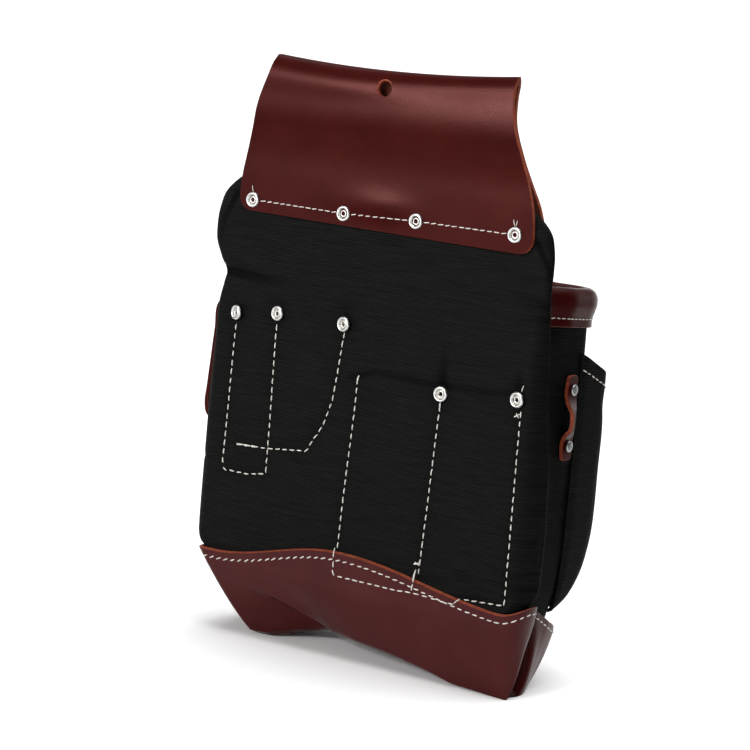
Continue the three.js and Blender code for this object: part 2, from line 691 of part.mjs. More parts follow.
/** Solid rivet along X: a low round cap on the strap, a shank and a head inside the pouch. */
function capRivet() {
  const outside = LOOP.seat + LEATHER + GAP;
  const inside = -NYLON - GAP;
  const profile = [
    [0, outside + LOOP.rivetCap],
    [LOOP.rivetCrown, outside + LOOP.rivetCap],
    [LOOP.rivetHead, outside + LOOP.rivetRim],
    [LOOP.rivetHead, outside],
    [LOOP.rivetShank, outside],
    [LOOP.rivetShank, inside],
    [LOOP.rivetHead, inside],
    [LOOP.rivetHead, inside - LOOP.rivetCap],
    [0, inside - LOOP.rivetCap],
  ];
  return closed(new THREE.LatheGeometry(profile.map(([r, y]) => new THREE.Vector2(r, y)), RIVET.sides));
}

const LEATHER_LOOK = { color: 0x55201c, roughness: 0.45, metalness: 0 };
const NYLON_LOOK = { color: 0x151517, roughness: 0.85, metalness: 0 };
const NICKEL_LOOK = { color: 0xc9c9cc, roughness: 0.25, metalness: 1 };

const toolPouch = new THREE.Group();

function place(name, geometry, look) {
  const mesh = new THREE.Mesh(geometry, new THREE.MeshStandardMaterial(look));
  mesh.name = name;
  toolPouch.add(mesh);
  return mesh;
}

place('back_panel', backPanel(), NYLON_LOOK);
place('belt_tunnel', beltTunnel(), LEATHER_LOOK);
TUNNEL_RIVETS.forEach(({ x, z }, i) => {
  const far = PANEL.thickness + GAP + LEATHER;
  place(`tunnel_rivet_${i + 1}`, clinchRivet(-GAP - LEATHER, far), NICKEL_LOOK).position.set(x, 0, z);
});
[SLOT_POCKET, SLEEVE_POCKET].forEach((pocket) => place(pocket.name, innerPocket(pocket), NYLON_LOOK));
PANEL_RIVETS.forEach(({ x, z }, i) => {
  const far = PANEL.thickness + GAP + PLY;
  place(`panel_rivet_${i + 1}`, clinchRivet(0, far), NICKEL_LOOK).position.set(x, 0, z);
});
place('main_pouch', mainPouch(), NYLON_LOOK);
place('pouch_lip', pouchLip(), LEATHER_LOOK);
place('outer_pocket', outerPocket(), NYLON_LOOK);
place('boot', boot(), LEATHER_LOOK);
for (const loop of LOOPS) {
  place(`side_loop_${loop.side}`, sideLoop(loop), LEATHER_LOOK);
  for (const { end, z } of loop.rivets) {
    const rivet = place(`loop_rivet_${loop.side}_${end}`, capRivet(), NICKEL_LOOK);
    rivet.position.set(loop.sign * pouchHalf(z), (loop.near + loop.far) / 2, z);
    rivet.rotation.z = (-loop.sign * Math.PI) / 2;
  }
}

const box = new THREE.Box3().setFromObject(toolPouch);
const middle = box.getCenter(new THREE.Vector3());
toolPouch.position.set(-middle.x, -middle.y, -box.min.z);

export default toolPouch;
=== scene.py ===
from math import pi, radians

import bpy
import numpy as np
from mathutils import Matrix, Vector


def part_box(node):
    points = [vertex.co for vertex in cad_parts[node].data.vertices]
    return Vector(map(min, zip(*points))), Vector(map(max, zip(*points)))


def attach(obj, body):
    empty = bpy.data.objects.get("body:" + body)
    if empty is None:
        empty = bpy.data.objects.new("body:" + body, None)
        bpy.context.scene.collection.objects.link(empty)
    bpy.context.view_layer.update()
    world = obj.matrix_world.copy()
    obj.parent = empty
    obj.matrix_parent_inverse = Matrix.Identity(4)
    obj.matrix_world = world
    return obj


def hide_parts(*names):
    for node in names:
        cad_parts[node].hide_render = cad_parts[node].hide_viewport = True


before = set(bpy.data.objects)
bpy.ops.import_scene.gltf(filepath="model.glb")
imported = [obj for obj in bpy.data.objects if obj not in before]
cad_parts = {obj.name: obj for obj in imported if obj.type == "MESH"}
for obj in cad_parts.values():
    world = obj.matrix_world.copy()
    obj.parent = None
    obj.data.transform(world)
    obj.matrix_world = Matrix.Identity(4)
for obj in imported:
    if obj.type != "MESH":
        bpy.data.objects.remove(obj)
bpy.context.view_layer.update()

# A belt-hung tool pouch of oxblood leather and black nylon. Shapes are worked out in millimetres in the
# pouch's own frame: X across the back panel, Y from the panel's outer face towards the pouches, Z up from
# the floor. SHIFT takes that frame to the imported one.
MM = 0.001
POUCH_LOW, POUCH_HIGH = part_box("main_pouch")
SHIFT = np.array([(POUCH_LOW.x + POUCH_HIGH.x) / 2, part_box("back_panel")[0].y, 0.0]) / MM

# Play between pieces, and the thickness of the leather, the nylon and the inner pockets' ply.
GAP = 0.3
LEATHER = 2.6
NYLON = 2.0
PLY = 1.6
# How wide cut edges are rounded, and past which angle in degrees.
CUT_EASE, BOOT_EASE = (0.45, 55), (0.35, 38)

# Back panel: height, reach to the left and reach to the right.
PANEL_OUTLINE = np.array([
    (44, 94, 99), (47, 102, 106.5), (50.5, 110, 113.6), (54, 116, 118), (58, 119.6, 121),
    (64, 121.8, 123), (74, 122.8, 123.6), (90, 123.2, 124), (131, 121, 122.4), (158, 118, 120.8),
    (180, 116.4, 119.4), (205, 115, 118.6),
    (217, 111.5, 118.3), (224, 110.4, 118.2), (233, 115.2, 118.3), (243, 119.4, 118.4),
    (251, 120, 118.6), (264, 118.4, 117.8), (274, 114.4, 114.4), (282, 106, 106), (286, 100, 100),
], float)
PANEL_THICK = 9.0
PANEL_BOTTOM, PANEL_TOP = 44.0, 286.0
PANEL_RIM, PANEL_RIM_WIDTH = 4.1, 8.0
# How far the flanks roll back, from where to where across, and the heights between which that eases out.
ROLL, ROLL_FROM, ROLL_TO, ROLL_FULL, ROLL_NONE = 10.0, 110.0, 122.0, 200.0, 245.0
SWELL_MOST, SWELL_START = 2.6, 0.4
# The simulated cloth is held on the rim past a share of its rounding, near the seams, and above and below two
# heights. Away from those the padding lies loose, easing in at the bottom and out at the top.
HELD_EDGE, HELD_SEAM, HELD_TOP, HELD_BOTTOM = 0.55, 3.2, 266.0, 60.0
LOOSE_BOTTOM, LOOSE_TOP = (50.0, 66.0), (256.0, 268.0)
# Hem of the sleeve pocket: its line across and up, how far out and down it pushes the padding, and its ends.
HEM_LINE = ((-10.0, 5.7, 46.0, 106.0), (172.0, 178.0, 176.0, 179.0))
HEM_PUSH, HEM_REACH, HEM_LEFT, HEM_RIGHT = 1.1, 30.0, (-12.0, -4.0), (104.0, 112.0)
RIVET_DIMPLE = 8.0
# The crease depth at which the painted shade is darkest, how much painted shade a seam's pull adds, the most
# of both, and the least that is left between the panel's faces.
CREASE_FULL_SHADE, SEAM_SHADE, SHADE_MOST, PANEL_LEAST = 2.0, 0.3, 0.85, 0.8

# Belt tunnel: height, middle and half width; then the strip's middle surface over its fold: depth, height
# and the trim at each end.
TUNNEL_OUTLINE = np.array([
    (264, 3.6, 103.6), (272, 3.6, 103.6), (285, 3.1, 102.4), (295, 2.4, 100.2),
    (315, 1, 94.5), (336, 0, 88.4), (348, 1.2, 85), (361, 2.2, 84),
], float)
TUNNEL_FOLD = np.array([
    (-1.6, 264, 0), (-1.6, 275, 0), (-1.6, 286, 0), (-1.4, 300, 0), (-2.8, 315, 0), (-4.3, 327, 0),
    (-3.6, 338, 0), (-2.0, 347, 0), (0.1, 354.6, 0), (2.9, 358, 0), (5.6, 354.8, 1), (6.8, 346, 3),
    (6.5, 333, 5), (6.8, 316, 5), (8.6, 300, 4), (10.6, 286, 2), (10.6, 275, 0), (10.6, 264, 0),
], float)
TUNNEL_CORNER = 9.0
TUNNEL_FALL, TUNNEL_FALL_Z = 4.2, (264.0, 290.0)
# The folded top sags between its ends, which stand a little higher.
TUNNEL_SAG, TUNNEL_LIFT, TUNNEL_SAG_Z = 3.8, 1.3, (322.0, 357.0)
# The near leaf's swelling over the panel's top edge, with its middle and half width each way, and how much
# straighter the leaf stands under the fold at the left.
BULGE, BULGE_X, BULGE_Z = 1.7, (-2.0, 26.0), (278.0, 7.0)
STRAIGHT, STRAIGHT_SHARE, STRAIGHT_Z, FOLD_TOP, FOLD_EASE = 1.8, (0.2, 0.8), (348.0, 8.0), 358.0, 5.0
HANG_HOLE = (-0.4, 347.6)
HANG_HOLE_RADIUS = (5.3, 2.6)
# Countersunk edge of the hang hole: radius and height over the leaf's face.
HOLE_EDGE = np.array([
    (5.5, 0.04), (5.1, 0.08), (4.85, -0.35), (4.65, -1.2), (4.6, -2.5), (5.4, -2.5),
], float)

TUNNEL_RIVETS = ((-89.7, 270.6), (-22.7, 269.6), (28.5, 270.8), (95.7, 270.6))
PANEL_RIVETS = ((-97.5, 200.0), (-66.7, 203.5), (-17.9, 203.5), (54.1, 172.0), (105.5, 176.5))
# How far the padding turns each of those rivets towards the left, in degrees.
PANEL_RIVET_TURNS = (20.0, 10.0, 10.0, 0.0, 8.0)
# Rolled side of a tubular rivet, from the bottom of its bore outwards: radius and height.
RIVET_FACE = np.array([
    (0, -2.6), (0.95, -2.6), (1.1, -0.6), (1.3, 0.4), (1.5, 0.8), (1.85, 0.8), (2.1, 0.45), (2.35, 0.0),
    (2.65, 0.0), (2.9, 0.6), (3.2, 1.25), (3.55, 1.62), (3.95, 1.66), (4.35, 1.38), (4.65, 0.8), (4.75, 0.2),
    (4.6, -0.1),
], float)
# Its shank, and the flat head behind: radius and height.
RIVET_SHANK, RIVET_HEAD = 2.2, ((3.8, GAP), (4.0, 0.6), (3.7, 1.3), (0, 1.4))
# Radii of its dark bore and of the dark groove inside the ring.
RIVET_DARK = ((0.0, 1.25), (2.0, 2.8))

# Inner pockets: sides, top, seams, how far they stand off, bottom on each side of a step.
SLOT_POCKET = dict(left=-103, right=-13, top=209, seams=(-97.5, -66.7, -17.9), stand=8,
                   bottom=(97, 114), step=-64.5)
SLEEVE_POCKET = dict(left=-12.5, right=107.8, top=182, seams=(-7.5, 53.5, 105.5), stand=9,
                     bottom=(49, 49), step=0)
SEAM_FLAT, STEP_EASE = 5.5, 4.0

# Main pouch: height, half width, front and corner radius.
POUCH_SECTIONS = np.array([
    (20, 108, 60, 24), (60, 113.8, 67, 20), (120, 115.5, 71, 18), (180, 115.5, 71, 18), (240, 115.5, 70, 18),
], float)
# Its front and corner where it is widest, the front's bow and its seat on the panel; then the lip's seam, and
# how far the mouth's ends are drawn in.
POUCH_FRONT, POUCH_CORNER, POUCH_BOW, POUCH_SEAT = 71.0, 18.0, 2.0, 0.9
LIP_SEAM, LIP_DROP, LIP_UPSTAND, LIP_BACK, LIP_PLAN_AT = 224.5, 3.0, 6.0, 9.7, 120.0
MOUTH_PINCH, MOUTH_PINCH_Y = 5.0, (9.0, 34.0)
# Cross-section of the rolled lip: distance out from the pouch's wall and height above its seam.
LIP_PROFILE = np.array([
    (1.6, -5), (1.6, 0), (2.8, 4.5), (3.8, 9), (3.2, 13.5), (0.6, 16.2), (-3.2, 16.2), (-6, 13.5),
    (-6.8, 9), (-5.4, 4.5), (-3.6, 0), (-3.6, -5),
], float)

POCKET_BACK, POCKET_BOTTOM, POCKET_RIM, POCKET_SLOPE, POCKET_GROWTH = 52.5, 46.0, 202.0, 0.42, 0.12
# Outer pocket: how far it stands in front of the main pouch from its sewn bottom edge up.
POCKET_PROFILE = np.array([
    (0, 1.5), (0.012, 6), (0.03, 11), (0.07, 17), (0.14, 24), (0.24, 28.6), (0.45, 30), (0.75, 29.4), (1, 28),
], float)

# Boot's top edge: its low, its peak and how far that reaches to each side, its upturned right corner, and its
# height in front. Then how it seats on the panel and the pouch, and its flat part, flank, rim and crease at
# the left (-1) and the right (1) end.
BOOT_LOW, BOOT_PEAK, BOOT_PEAK_X, BOOT_REACH = 50.5, 15.5, -6.5, (95.0, 125.0)
BOOT_UPTURN, BOOT_UPTURN_X = 6.0, (107.0, 123.0)
BOOT_FRONT_EDGE, BOOT_FRONT_Y = 36.0, (19.0, 61.0)
BOOT_SEAT, BOOT_CLEAR, BOOT_TUCK, BOOT_PLAN_AT = 0.6, 2.0, 2.0, 52.0
BOOT_FLAT, BOOT_FLANK, BOOT_RIM = {-1: 103.0, 1: 110.0}, {-1: 109.5, 1: 120.0}, {-1: 113.4, 1: 120.0}
BOOT_RIM_Y, BOOT_CREASE, BOOT_SEAM_Y, BOOT_FLANK_TO = 15.0, (117.2, 23.0), 28.0, 0.8
BOOT_SKIVE = 0.8
# The sole's outline at its left and right end: end and near edge, then the rim, the crease, the fold behind
# the crease and the corner, as places across and away.
SOLE_END, SOLE_NEAR, SOLE_FAR, SOLE_MIDDLE = {-1: -73.8, 1: 113.6}, {-1: 8.0, 1: 2.5}, 64.0, 36.0
SOLE_RIM, SOLE_CREASE = {-1: (-72.8, 16.0), 1: (114.8, 4.5)}, {-1: (-66.8, 21.0), 1: (113.5, 8.5)}
SOLE_FOLD, SOLE_CORNER = {-1: (-66.8, 25.0), 1: (115.5, 12.0)}, {-1: (-69.8, 48.0), 1: (108.5, 36.0)}
GUSSET_BULGE = 2.5
# The sole's arch, the dent in its near edge, the way in to its hollow, the pinch in the crease, and the lift
# at its left end.
ARCH, ARCH_BOW, ARCH_X, ARCH_LEFT, ARCH_RIGHT, HEEL_LIFT = 11.0, 0.5, -8.5, -64.5, 75.5, 3.0
DENT_X, DENT_WIDTH, DENT_IN, SOLE_RISE, SOLE_ENDS = -32.5, 20.0, 11.0, 8.0, 30.0
FOOT_SHARE, HOLLOW_SHARE, CREASE_PINCH = 0.18, 0.6, {-1: 0.0, 1: 12.0}
LEFT_LIFT, LEFT_LIFT_WIDTH = 2.4, 22.0
# How far towards the sole the wall's two Bezier points lie: behind the crease, ahead of it, and down.
BOOT_BEND = ((0.15, 0.25, 0.31), (0.58, 0.7, 0.81))
# Makes the pinch's t * t * (1 - t) reach one.
PINCH_FULL = 6.75
# The slanting fold at the near left: its height and place across, how deep it is, the height of the left
# edge's top, the width of the step across the fold, and where it ends upwards and away.
HOLLOW_CREASE, HOLLOW_DEPTH = ((8, 14, 20, 27, 33, 38), (-10, -21, -40, -57, -73, -88)), 9.0
HOLLOW_EDGE_TOP, HOLLOW_STEP, HOLLOW_Z, HOLLOW_Y = 46.0, (-3.0, 4.0), (10.0, 37.0), (24.0, 34.0)
# How many columns of the wall the painted shade in the right crease is wide, close to it and behind it.
SHADE_TIGHT, SHADE_WIDE = 6.5, 16.0

# Side loops: side, near and far edge, rivet heights, how much of the stand-off the near and the far edge
# take, and the strap's height and stand-off.
RIGHT_LOOP = dict(sign=1, near=37, far=47.6, rivets=dict(top=181, bottom=147.5), lean=(1, 0.1), profile=(
    (189.5, 0), (176, 0), (172.5, 1.5), (168, 4.5), (163, 5.1), (158, 4.5), (154.5, 1.5), (152, 0), (139, 0)))
LEFT_LOOP = dict(sign=-1, near=20, far=42, rivets=dict(top=210.5, bottom=116), lean=(1, 1), profile=(
    (216.5, 0), (210, 0), (206, 3.4), (201.5, 8.6), (185, 10.2), (165, 11.6), (148, 12.8), (136, 13.4),
    (131, 12), (127.5, 6), (124.5, 1.4), (121, 0), (109, 0)))
STRAP = LEATHER - 0.2
LOOP_SEAT, LOOP_END_RADIUS, CAP_RADIUS, CAP_HEIGHT = 0.5, 2.2, 3.4, 1.3

# Seams on the panel, as places across and up.
SEAMS = dict(
    slot_left=((-98.4, 193.7), (-100.8, 106), (-98.8, 101.3), (-81.7, 101), (-68.2, 103.4)),
    slot_middle=((-67.5, 197.4), (-67.4, 103.5)),
    slot_right=((-18.2, 199.3), (-20.7, 173.4), (-22.6, 156.6), (-27.6, 140.5), (-38.5, 122.7), (-69, 119.2),
                (-90.4, 118.5)),
    sleeve_left=((-5.4, 173.2), (-9.8, 66.5)),
    sleeve_middle=((53.4, 166), (48.7, 61.5)),
    sleeve_right=((107.9, 170.9), (108.8, 55.4), (80.5, 53.8)),
)
# The sleeve seams go on over the boot's edge and along under its own row.
BOOT_SEAMS = dict(
    sleeve_foot=((-9.2, 61.0), (-8.6, 53.1), (-6.9, 51.6), (37.8, 51.2), (47.8, 52.0)),
    sleeve_foot_right=((48.0, 51.9), (56, 51.7), (64, 51.2), (72, 50.6), (78.4, 50.9)),
)
STITCH, STITCH_PITCH, STITCH_RADIUS = 4.0, 5.5, 0.43
ROW_PITCH = 5.2
# The boot's row: its drop below the edge, where it starts, where its two parts meet, right of the peak, and
# how far its stitches are turned at the two ends of each part.
BOOT_ROW_DROP, BOOT_ROW_START, BOOT_ROW_BREAK = 4.9, 24, (20.0, 8.0)
BOOT_ROW, BOOT_TILTS = dict(pitch=ROW_PITCH, length=3.7), dict(left=(-0.42, -0.25), right=(-0.12, 0.0))
# The tunnel's hem, which keeps clear of its rivets, and the rows under the lip and at the outer pocket's rim.
HEM_ROW, HEM_SHARES = dict(pitch=4.6, length=4.1, radius=0.34, tilt=(-0.14, -0.06)), (0.04, 0.96)
RIVET_CLEAR = 4.6
LIP_ROW, RIM_ROW_UP = dict(pitch=4.2, length=3.7, radius=0.36), 0.94
# The way that the near faces look, and the depth of the boot's and the tunnel's.
OUTWARD = np.array([0.0, -1.0, 0.0])
BOOT_FACE, TUNNEL_FACE = -BOOT_SEAT - LEATHER, -GAP - LEATHER
# Odd threads: where each starts and ends, as place across, height over the face and place up, and its
# radius. The face is the panel's, the boot's or the tunnel's.
ODD_THREADS = dict(
    panel=(
        ((-5.3, 0.2, 174.5), (-5.5, 0.2, 170.0), 0.6), ((53.4, 0.1, 167.2), (53.3, 0.1, 163.4), 0.5),
        ((-91.2, 0.2, 118.4), (-87.6, 0.2, 118.6), 0.68), ((-85.6, 0.2, 118.6), (-82.0, 0.2, 118.8), 0.68),
        ((-80.2, 0.2, 118.8), (-76.6, 0.2, 119.0), 0.68), ((49.2, 0.2, 72.0), (48.9, 0.2, 67.6), 0.6),
        ((45.4, 0.8, 68.4), (49.6, 0.8, 69.6), 0.5), ((46.2, 0.9, 69.8), (49.4, 0.9, 68.2), 0.45),
        ((104.6, 0.6, 166.4), (107.6, 0.6, 168.4), 0.42), ((105.6, 0.6, 168.8), (107.4, 0.6, 166.0), 0.42),
        ((107.2, 0.4, 181.0), (108.8, 0.7, 185.4), 0.3),
    ),
    boot=(
        ((-9.7, -1.4, 68.4), (-9.3, 0.3, 62.6), 0.42), ((48.7, -1.4, 66.2), (48.3, 0.3, 58.2), 0.6),
        ((48.3, 0.1, 57.4), (47.8, 0.1, 53.2), 0.45), ((80.8, -1.2, 54.6), (77.6, 0.3, 51.4), 0.42),
    ),
    tunnel=(
        ((-90.0, 0.3, 275.4), (-90.9, 0.5, 279.4), 0.3),
        ((-21.4, 0.3, 274.0), (-19.6, 0.5, 276.6), 0.28), ((95.2, 0.3, 275.2), (93.9, 0.5, 279.4), 0.28),
        ((95.9, 0.3, 275.4), (96.6, 0.6, 279.0), 0.28),
    ),
)
# Creases pressed into the panel: path, depth at each end, half width.
CREASES = (
    (((-111, 225.5), (-74.5, 222.9), (-52.1, 222.7)), 3.2, 0.2, 2.6),
    (((-10.3, 171.9), (5.7, 177.9), (24.9, 177.2), (46.1, 176.1), (80.3, 177.8), (106.4, 178.8)),
     1.5, 1.3, 1.5),
    (((-103.9, 274.2), (-113.4, 254), (-114.1, 246)), 1.6, 0.8, 1.5),
    (((108.7, 267.5), (117.7, 253.5), (118.5, 247)), 1.6, 1.2, 1.5),
    (((54.1, 178), (55.2, 206)), 1.7, 0.1, 2.6),
    (((105.5, 183), (106, 196)), 1.2, 0.1, 2.4),
    (((-17.9, 210), (-17.9, 226)), 0.8, 0.0, 2.6),
    (((118, 232), (92, 234)), 1.6, 0.0, 2.4),
    (((118, 224), (98, 222)), 1.3, 0.0, 2.2),
    (((-124, 106), (-108, 108)), 1.3, 0.0, 1.8),
    (((122, 66), (100, 67)), 1.2, 0.0, 1.8),
)

# Dark studio cards as corners in metres: two on the floor for the gloss alone, and one standing at the right
# that keeps the floor's light off that side as well.
DARK_CARDS = dict(
    front_card=((-0.54, -0.25, 0.004), (-0.05, -0.6, 0.004), (-0.2, -2.2, 0.004), (-2.0, -0.95, 0.004)),
    right_card=((0.32, 0.2, 0.004), (0.7, -0.1, 0.004), (1.9, 1.7, 0.004), (0.75, 2.5, 0.004)),
    side_flag=((0.62, -0.35, 0.0), (0.98, 1.9, 0.0), (0.98, 1.9, 0.8), (0.62, -0.35, 0.8)),
)
# Lights: kind, place in metres and power. The overhead light is wide; the gloss box shows in the gloss alone.
LAMPS = dict(
    overhead=("SUN", (0.1, 0.35, 1.9), 3.8),
    softbox=("AREA", (-0.15, -2.15, 1.0), 28.0),
    gloss_box=("AREA", (-0.8, -2.0, 0.95), 60.0),
)
LAMP_AIM, SUN_ANGLE, BOX_SIZE, SKY = (0.0, 0.0, 0.2), 60, 0.5, 0.22
# Floor, in metres: radius and height of a wide bowl.
FLOOR = np.array([(1.5, 0), (2.5, 0.04), (4, 0.3), (6, 0.9), (16, 4.4)])
FLOOR_SIDES = 96

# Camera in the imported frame, in millimetres.
EYE = (809.15, -1288.475, 382.2)
EYE_RIGHT = (0.8316, 0.5489, 0.0850)
EYE_UP = (-0.1467, 0.0695, 0.9867)
EYE_BACK = (0.5357, -0.8330, 0.1383)
LENS, SENSOR = 120.0, 36.0


def smoothstep(x, low, high):
    """0 below low, 1 above high and a cubic ease between them."""
    t = np.clip((np.asarray(x, float) - low) / (high - low), 0, 1)
    return t * t * (3 - 2 * t)


def mix(a, b, t):
    """From a at 0 to b at 1."""
    return a + (b - a) * t


def bell(distance, width):
    """1 at no distance, falling off as a bell."""
    return np.exp(-(distance / width) ** 2)


def joined(*parts):
    """Coordinates spread to one shape and set side by side."""
    return np.stack(np.broadcast_arrays(*parts), -1)


def unit(v):
    """Vectors brought to a length of one."""
    return v / np.linalg.norm(v, axis=-1, keepdims=True)


def square_to(v, along):
    """The part of vectors that stands square to others, brought to a length of one."""
    return unit(v - np.sum(v * along, -1, keepdims=True) * along)


def ring_way(outline):
    """Direction of a closed outline at each of its points."""
    return unit(np.roll(outline, -1, axis=0) - np.roll(outline, 1, axis=0))


def curve(knots, values):
    """Cubic through the knots. Each slope is the mean of its two chords', weighted by the other's width."""
    knots = np.asarray(knots, float)
    values = np.asarray(values, float)
    lift = (slice(None),) + (None,) * (values.ndim - 1)
    widths = np.diff(knots)
    chords = np.diff(values, axis=0) / widths[lift]
    both = (widths[:-1] + widths[1:])[lift]
    inner = (chords[:-1] * widths[1:][lift] + chords[1:] * widths[:-1][lift]) / both
    slopes = np.concatenate([chords[:1], inner, chords[-1:]])

    def at(t):
        t = np.asarray(t, float)
        i = np.clip(np.searchsorted(knots, t, side="right") - 1, 0, len(knots) - 2)
        grow = t.shape + (1,) * (values.ndim - 1)
        f = np.clip((t - knots[i]) / widths[i], 0, 1).reshape(grow)
        w = widths[i].reshape(grow)
        return (values[i] * (1 + 2 * f) * (1 - f) ** 2 + slopes[i] * w * f * (1 - f) ** 2
                + values[i + 1] * f * f * (3 - 2 * f) + slopes[i + 1] * w * f * f * (f - 1))
    return at


def curves(table):
    """One cubic for each column of a table after its first, which holds the knots."""
    return [curve(table[:, 0], table[:, k]) for k in range(1, table.shape[1])]


def chord_knots(points):
    """Running length along a list of points."""
    return np.concatenate([[0], np.cumsum(np.linalg.norm(np.diff(points, axis=0), axis=1))])


def read_along(where, knots, table):
    """Each column of a table read at places between its knots."""
    return np.stack([np.interp(where, knots, column) for column in table.T], -1)


def evenly(path, count=None, step=None):
    """Points at even arc length along a path: `count` of them, or one every `step`."""
    length = chord_knots(path)
    total = length[-1]
    count = count or int(round(total / step)) + 1
    return read_along(np.linspace(0, total, count), length, path)


def smooth_path(points, fine=400):
    """A dense line along the cubic through a few points."""
    points = np.asarray(points, float)
    knots = chord_knots(points)
    return curve(knots, points)(np.linspace(0, knots[-1], fine))


def straight_path(points, fine=400):
    """A dense line along the straight stretches between a few points."""
    return evenly(np.asarray(points, float), count=fine)


def grid_faces(rows, columns, around=False):
    """Quads between the points of a grid; `around` joins its last column to its first."""
    i = np.arange(rows - 1)[:, None]
    j = np.arange(columns if around else columns - 1)[None, :]
    k = (j + 1) % columns
    row, after = i * columns, (i + 1) * columns
    return joined(row + j, row + k, after + k, after + j).reshape(-1, 4)


def facing(points, faces, centre):
    """The faces, all turned round if together they look towards the centre."""
    corners = points[faces[:, :4]]
    normal = np.cross(corners[:, 2] - corners[:, 0], corners[:, 3] - corners[:, 1])
    out = np.sum(normal * (corners.mean(1) - np.asarray(centre, float)))
    return faces if out > 0 else faces[:, ::-1]


def new_object(name, data):
    """A new object in the scene."""
    made = bpy.data.objects.new(name, data)
    bpy.context.scene.collection.objects.link(made)
    return made


def set_up(made, axes, place):
    """Stands a lamp or camera at a place with its own right, up and back."""
    made.matrix_world = Matrix([(*row, p) for row, p in zip(joined(*axes), place)] + [(0, 0, 0, 1)])


def piece(name, points, faces, looks, nodes=(), face_looks=None):
    """A smooth mesh of points in millimetres in the pouch's frame, riding on the part with its finishes."""
    mesh = bpy.data.meshes.new(name)
    places = (np.asarray(points, float).reshape(-1, 3) + SHIFT) * MM
    mesh.from_pydata(places.tolist(), [], faces if isinstance(faces, list) else faces.tolist())
    for look in looks:
        mesh.materials.append(look)
    if face_looks is not None:
        mesh.polygons.foreach_set("material_index", np.asarray(face_looks, np.int32))
    mesh.shade_smooth()
    made = new_object(name, mesh)
    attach(made, "root")
    if nodes:
        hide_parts(*nodes)
    return made


def mark_painted_shade(made, amount):
    """Painted shade at each vertex, darkest in folds and creases, for the finish to darken."""
    mark = made.data.attributes.new("painted_shade", "FLOAT", "POINT")
    mark.data.foreach_set("value", amount)


def ease_edges(made, width, angle):
    """Rounds off the edges sharper than an angle in degrees."""
    ease = made.modifiers.new("eased edges", "BEVEL")
    ease.width = width * MM
    ease.segments = 2
    ease.limit_method = "ANGLE"
    ease.angle_limit = radians(angle)
    ease.harden_normals = True


def thicken(made, thickness, offset=0.0, inside=0, rim=0):
    """Gives a sheet its wall, with its own finish inside and on the cut edge, and eases its edges."""
    wall = made.modifiers.new("wall", "SOLIDIFY")
    wall.thickness = thickness * MM
    wall.offset = offset
    wall.material_offset = inside
    wall.material_offset_rim = rim
    ease_edges(made, *CUT_EASE)


def sheet(name, grid, centre, looks, slot, node_name, thickness, **wall):
    """A piece from a grid of points, its faces turned away from a centre, with a wall of its own."""
    points = grid.reshape(-1, 3)
    faces = facing(points, grid_faces(*grid.shape[:2]), centre)
    thicken(piece(name, points, faces, looks, [node_name]), thickness, **wall)


# Finishes

def material(name, roughness, specular, metallic=0.0, sheen=0.0):
    """A principled shader with its constant values on its own sockets."""
    made = bpy.data.materials.new(name)
    made.use_nodes = True
    shader = made.node_tree.nodes["Principled BSDF"]
    shader.inputs["Roughness"].default_value = roughness
    shader.inputs["Specular IOR Level"].default_value = specular
    shader.inputs["Metallic"].default_value = metallic
    shader.inputs["Sheen Weight"].default_value = sheen
    return made, shader


def node(made, kind, settings=(), **inputs):
    """Adds a node; an input is a value or another node's socket."""
    added = made.node_tree.nodes.new(kind)
    for key, value in dict(settings).items():
        setattr(added, key, value)
    for key, value in inputs.items():
        socket = added.inputs[int(key[1:]) if key[1:].isdigit() else key.replace("_", " ")]
        if isinstance(value, bpy.types.NodeSocket):
            made.node_tree.links.new(value, socket)
        else:
            socket.default_value = value
    return added


def link(made, output, socket):
    """Joins an output to an input."""
    made.node_tree.links.new(output, socket)


def noise(made, scale, detail=4.0, roughness=0.55, vector=None):
    """Noise over the piece's own place, `scale` to the metre."""
    where = vector or own_place(made)
    return node(made, "ShaderNodeTexNoise", Vector=where, Scale=scale, Detail=detail,
                Roughness=roughness).outputs["Fac"]


def ramp(made, value, stops):
    """Colours between stops of place and colour."""
    made_ramp = node(made, "ShaderNodeValToRGB", Fac=value)
    elements = made_ramp.color_ramp.elements
    while len(elements) < len(stops):
        elements.new(0.5)
    for element, (place, colour) in zip(elements, stops):
        element.position = place
        element.color = (*colour, 1.0)
    return made_ramp.outputs["Color"]


def calc(made, operation, first, second=0.0):
    """One operation on two sockets or values."""
    return node(made, "ShaderNodeMath", {"operation": operation}, _0=first, _1=second).outputs[0]


def bump(made, shader, height, strength, distance):
    """Fine relief, its distance in millimetres."""
    raised = node(made, "ShaderNodeBump", Height=height, Strength=strength, Distance=distance * MM)
    link(made, raised.outputs["Normal"], shader.inputs["Normal"])


def between(made, value, low, high):
    """The 0 to 1 value spread between low and high."""
    return node(made, "ShaderNodeMapRange", Value=value, _3=low, _4=high).outputs[0]


def own_place(made):
    """The piece's own coordinates."""
    return node(made, "ShaderNodeTexCoord").outputs["Object"]


def painted_shade_factor(made):
    """1 in the open, less where painted shade darkens the piece in its folds and creases."""
    painted_shade = node(made, "ShaderNodeAttribute", {"attribute_name": "painted_shade"}).outputs["Fac"]
    return calc(made, "SUBTRACT", 1.0, painted_shade)


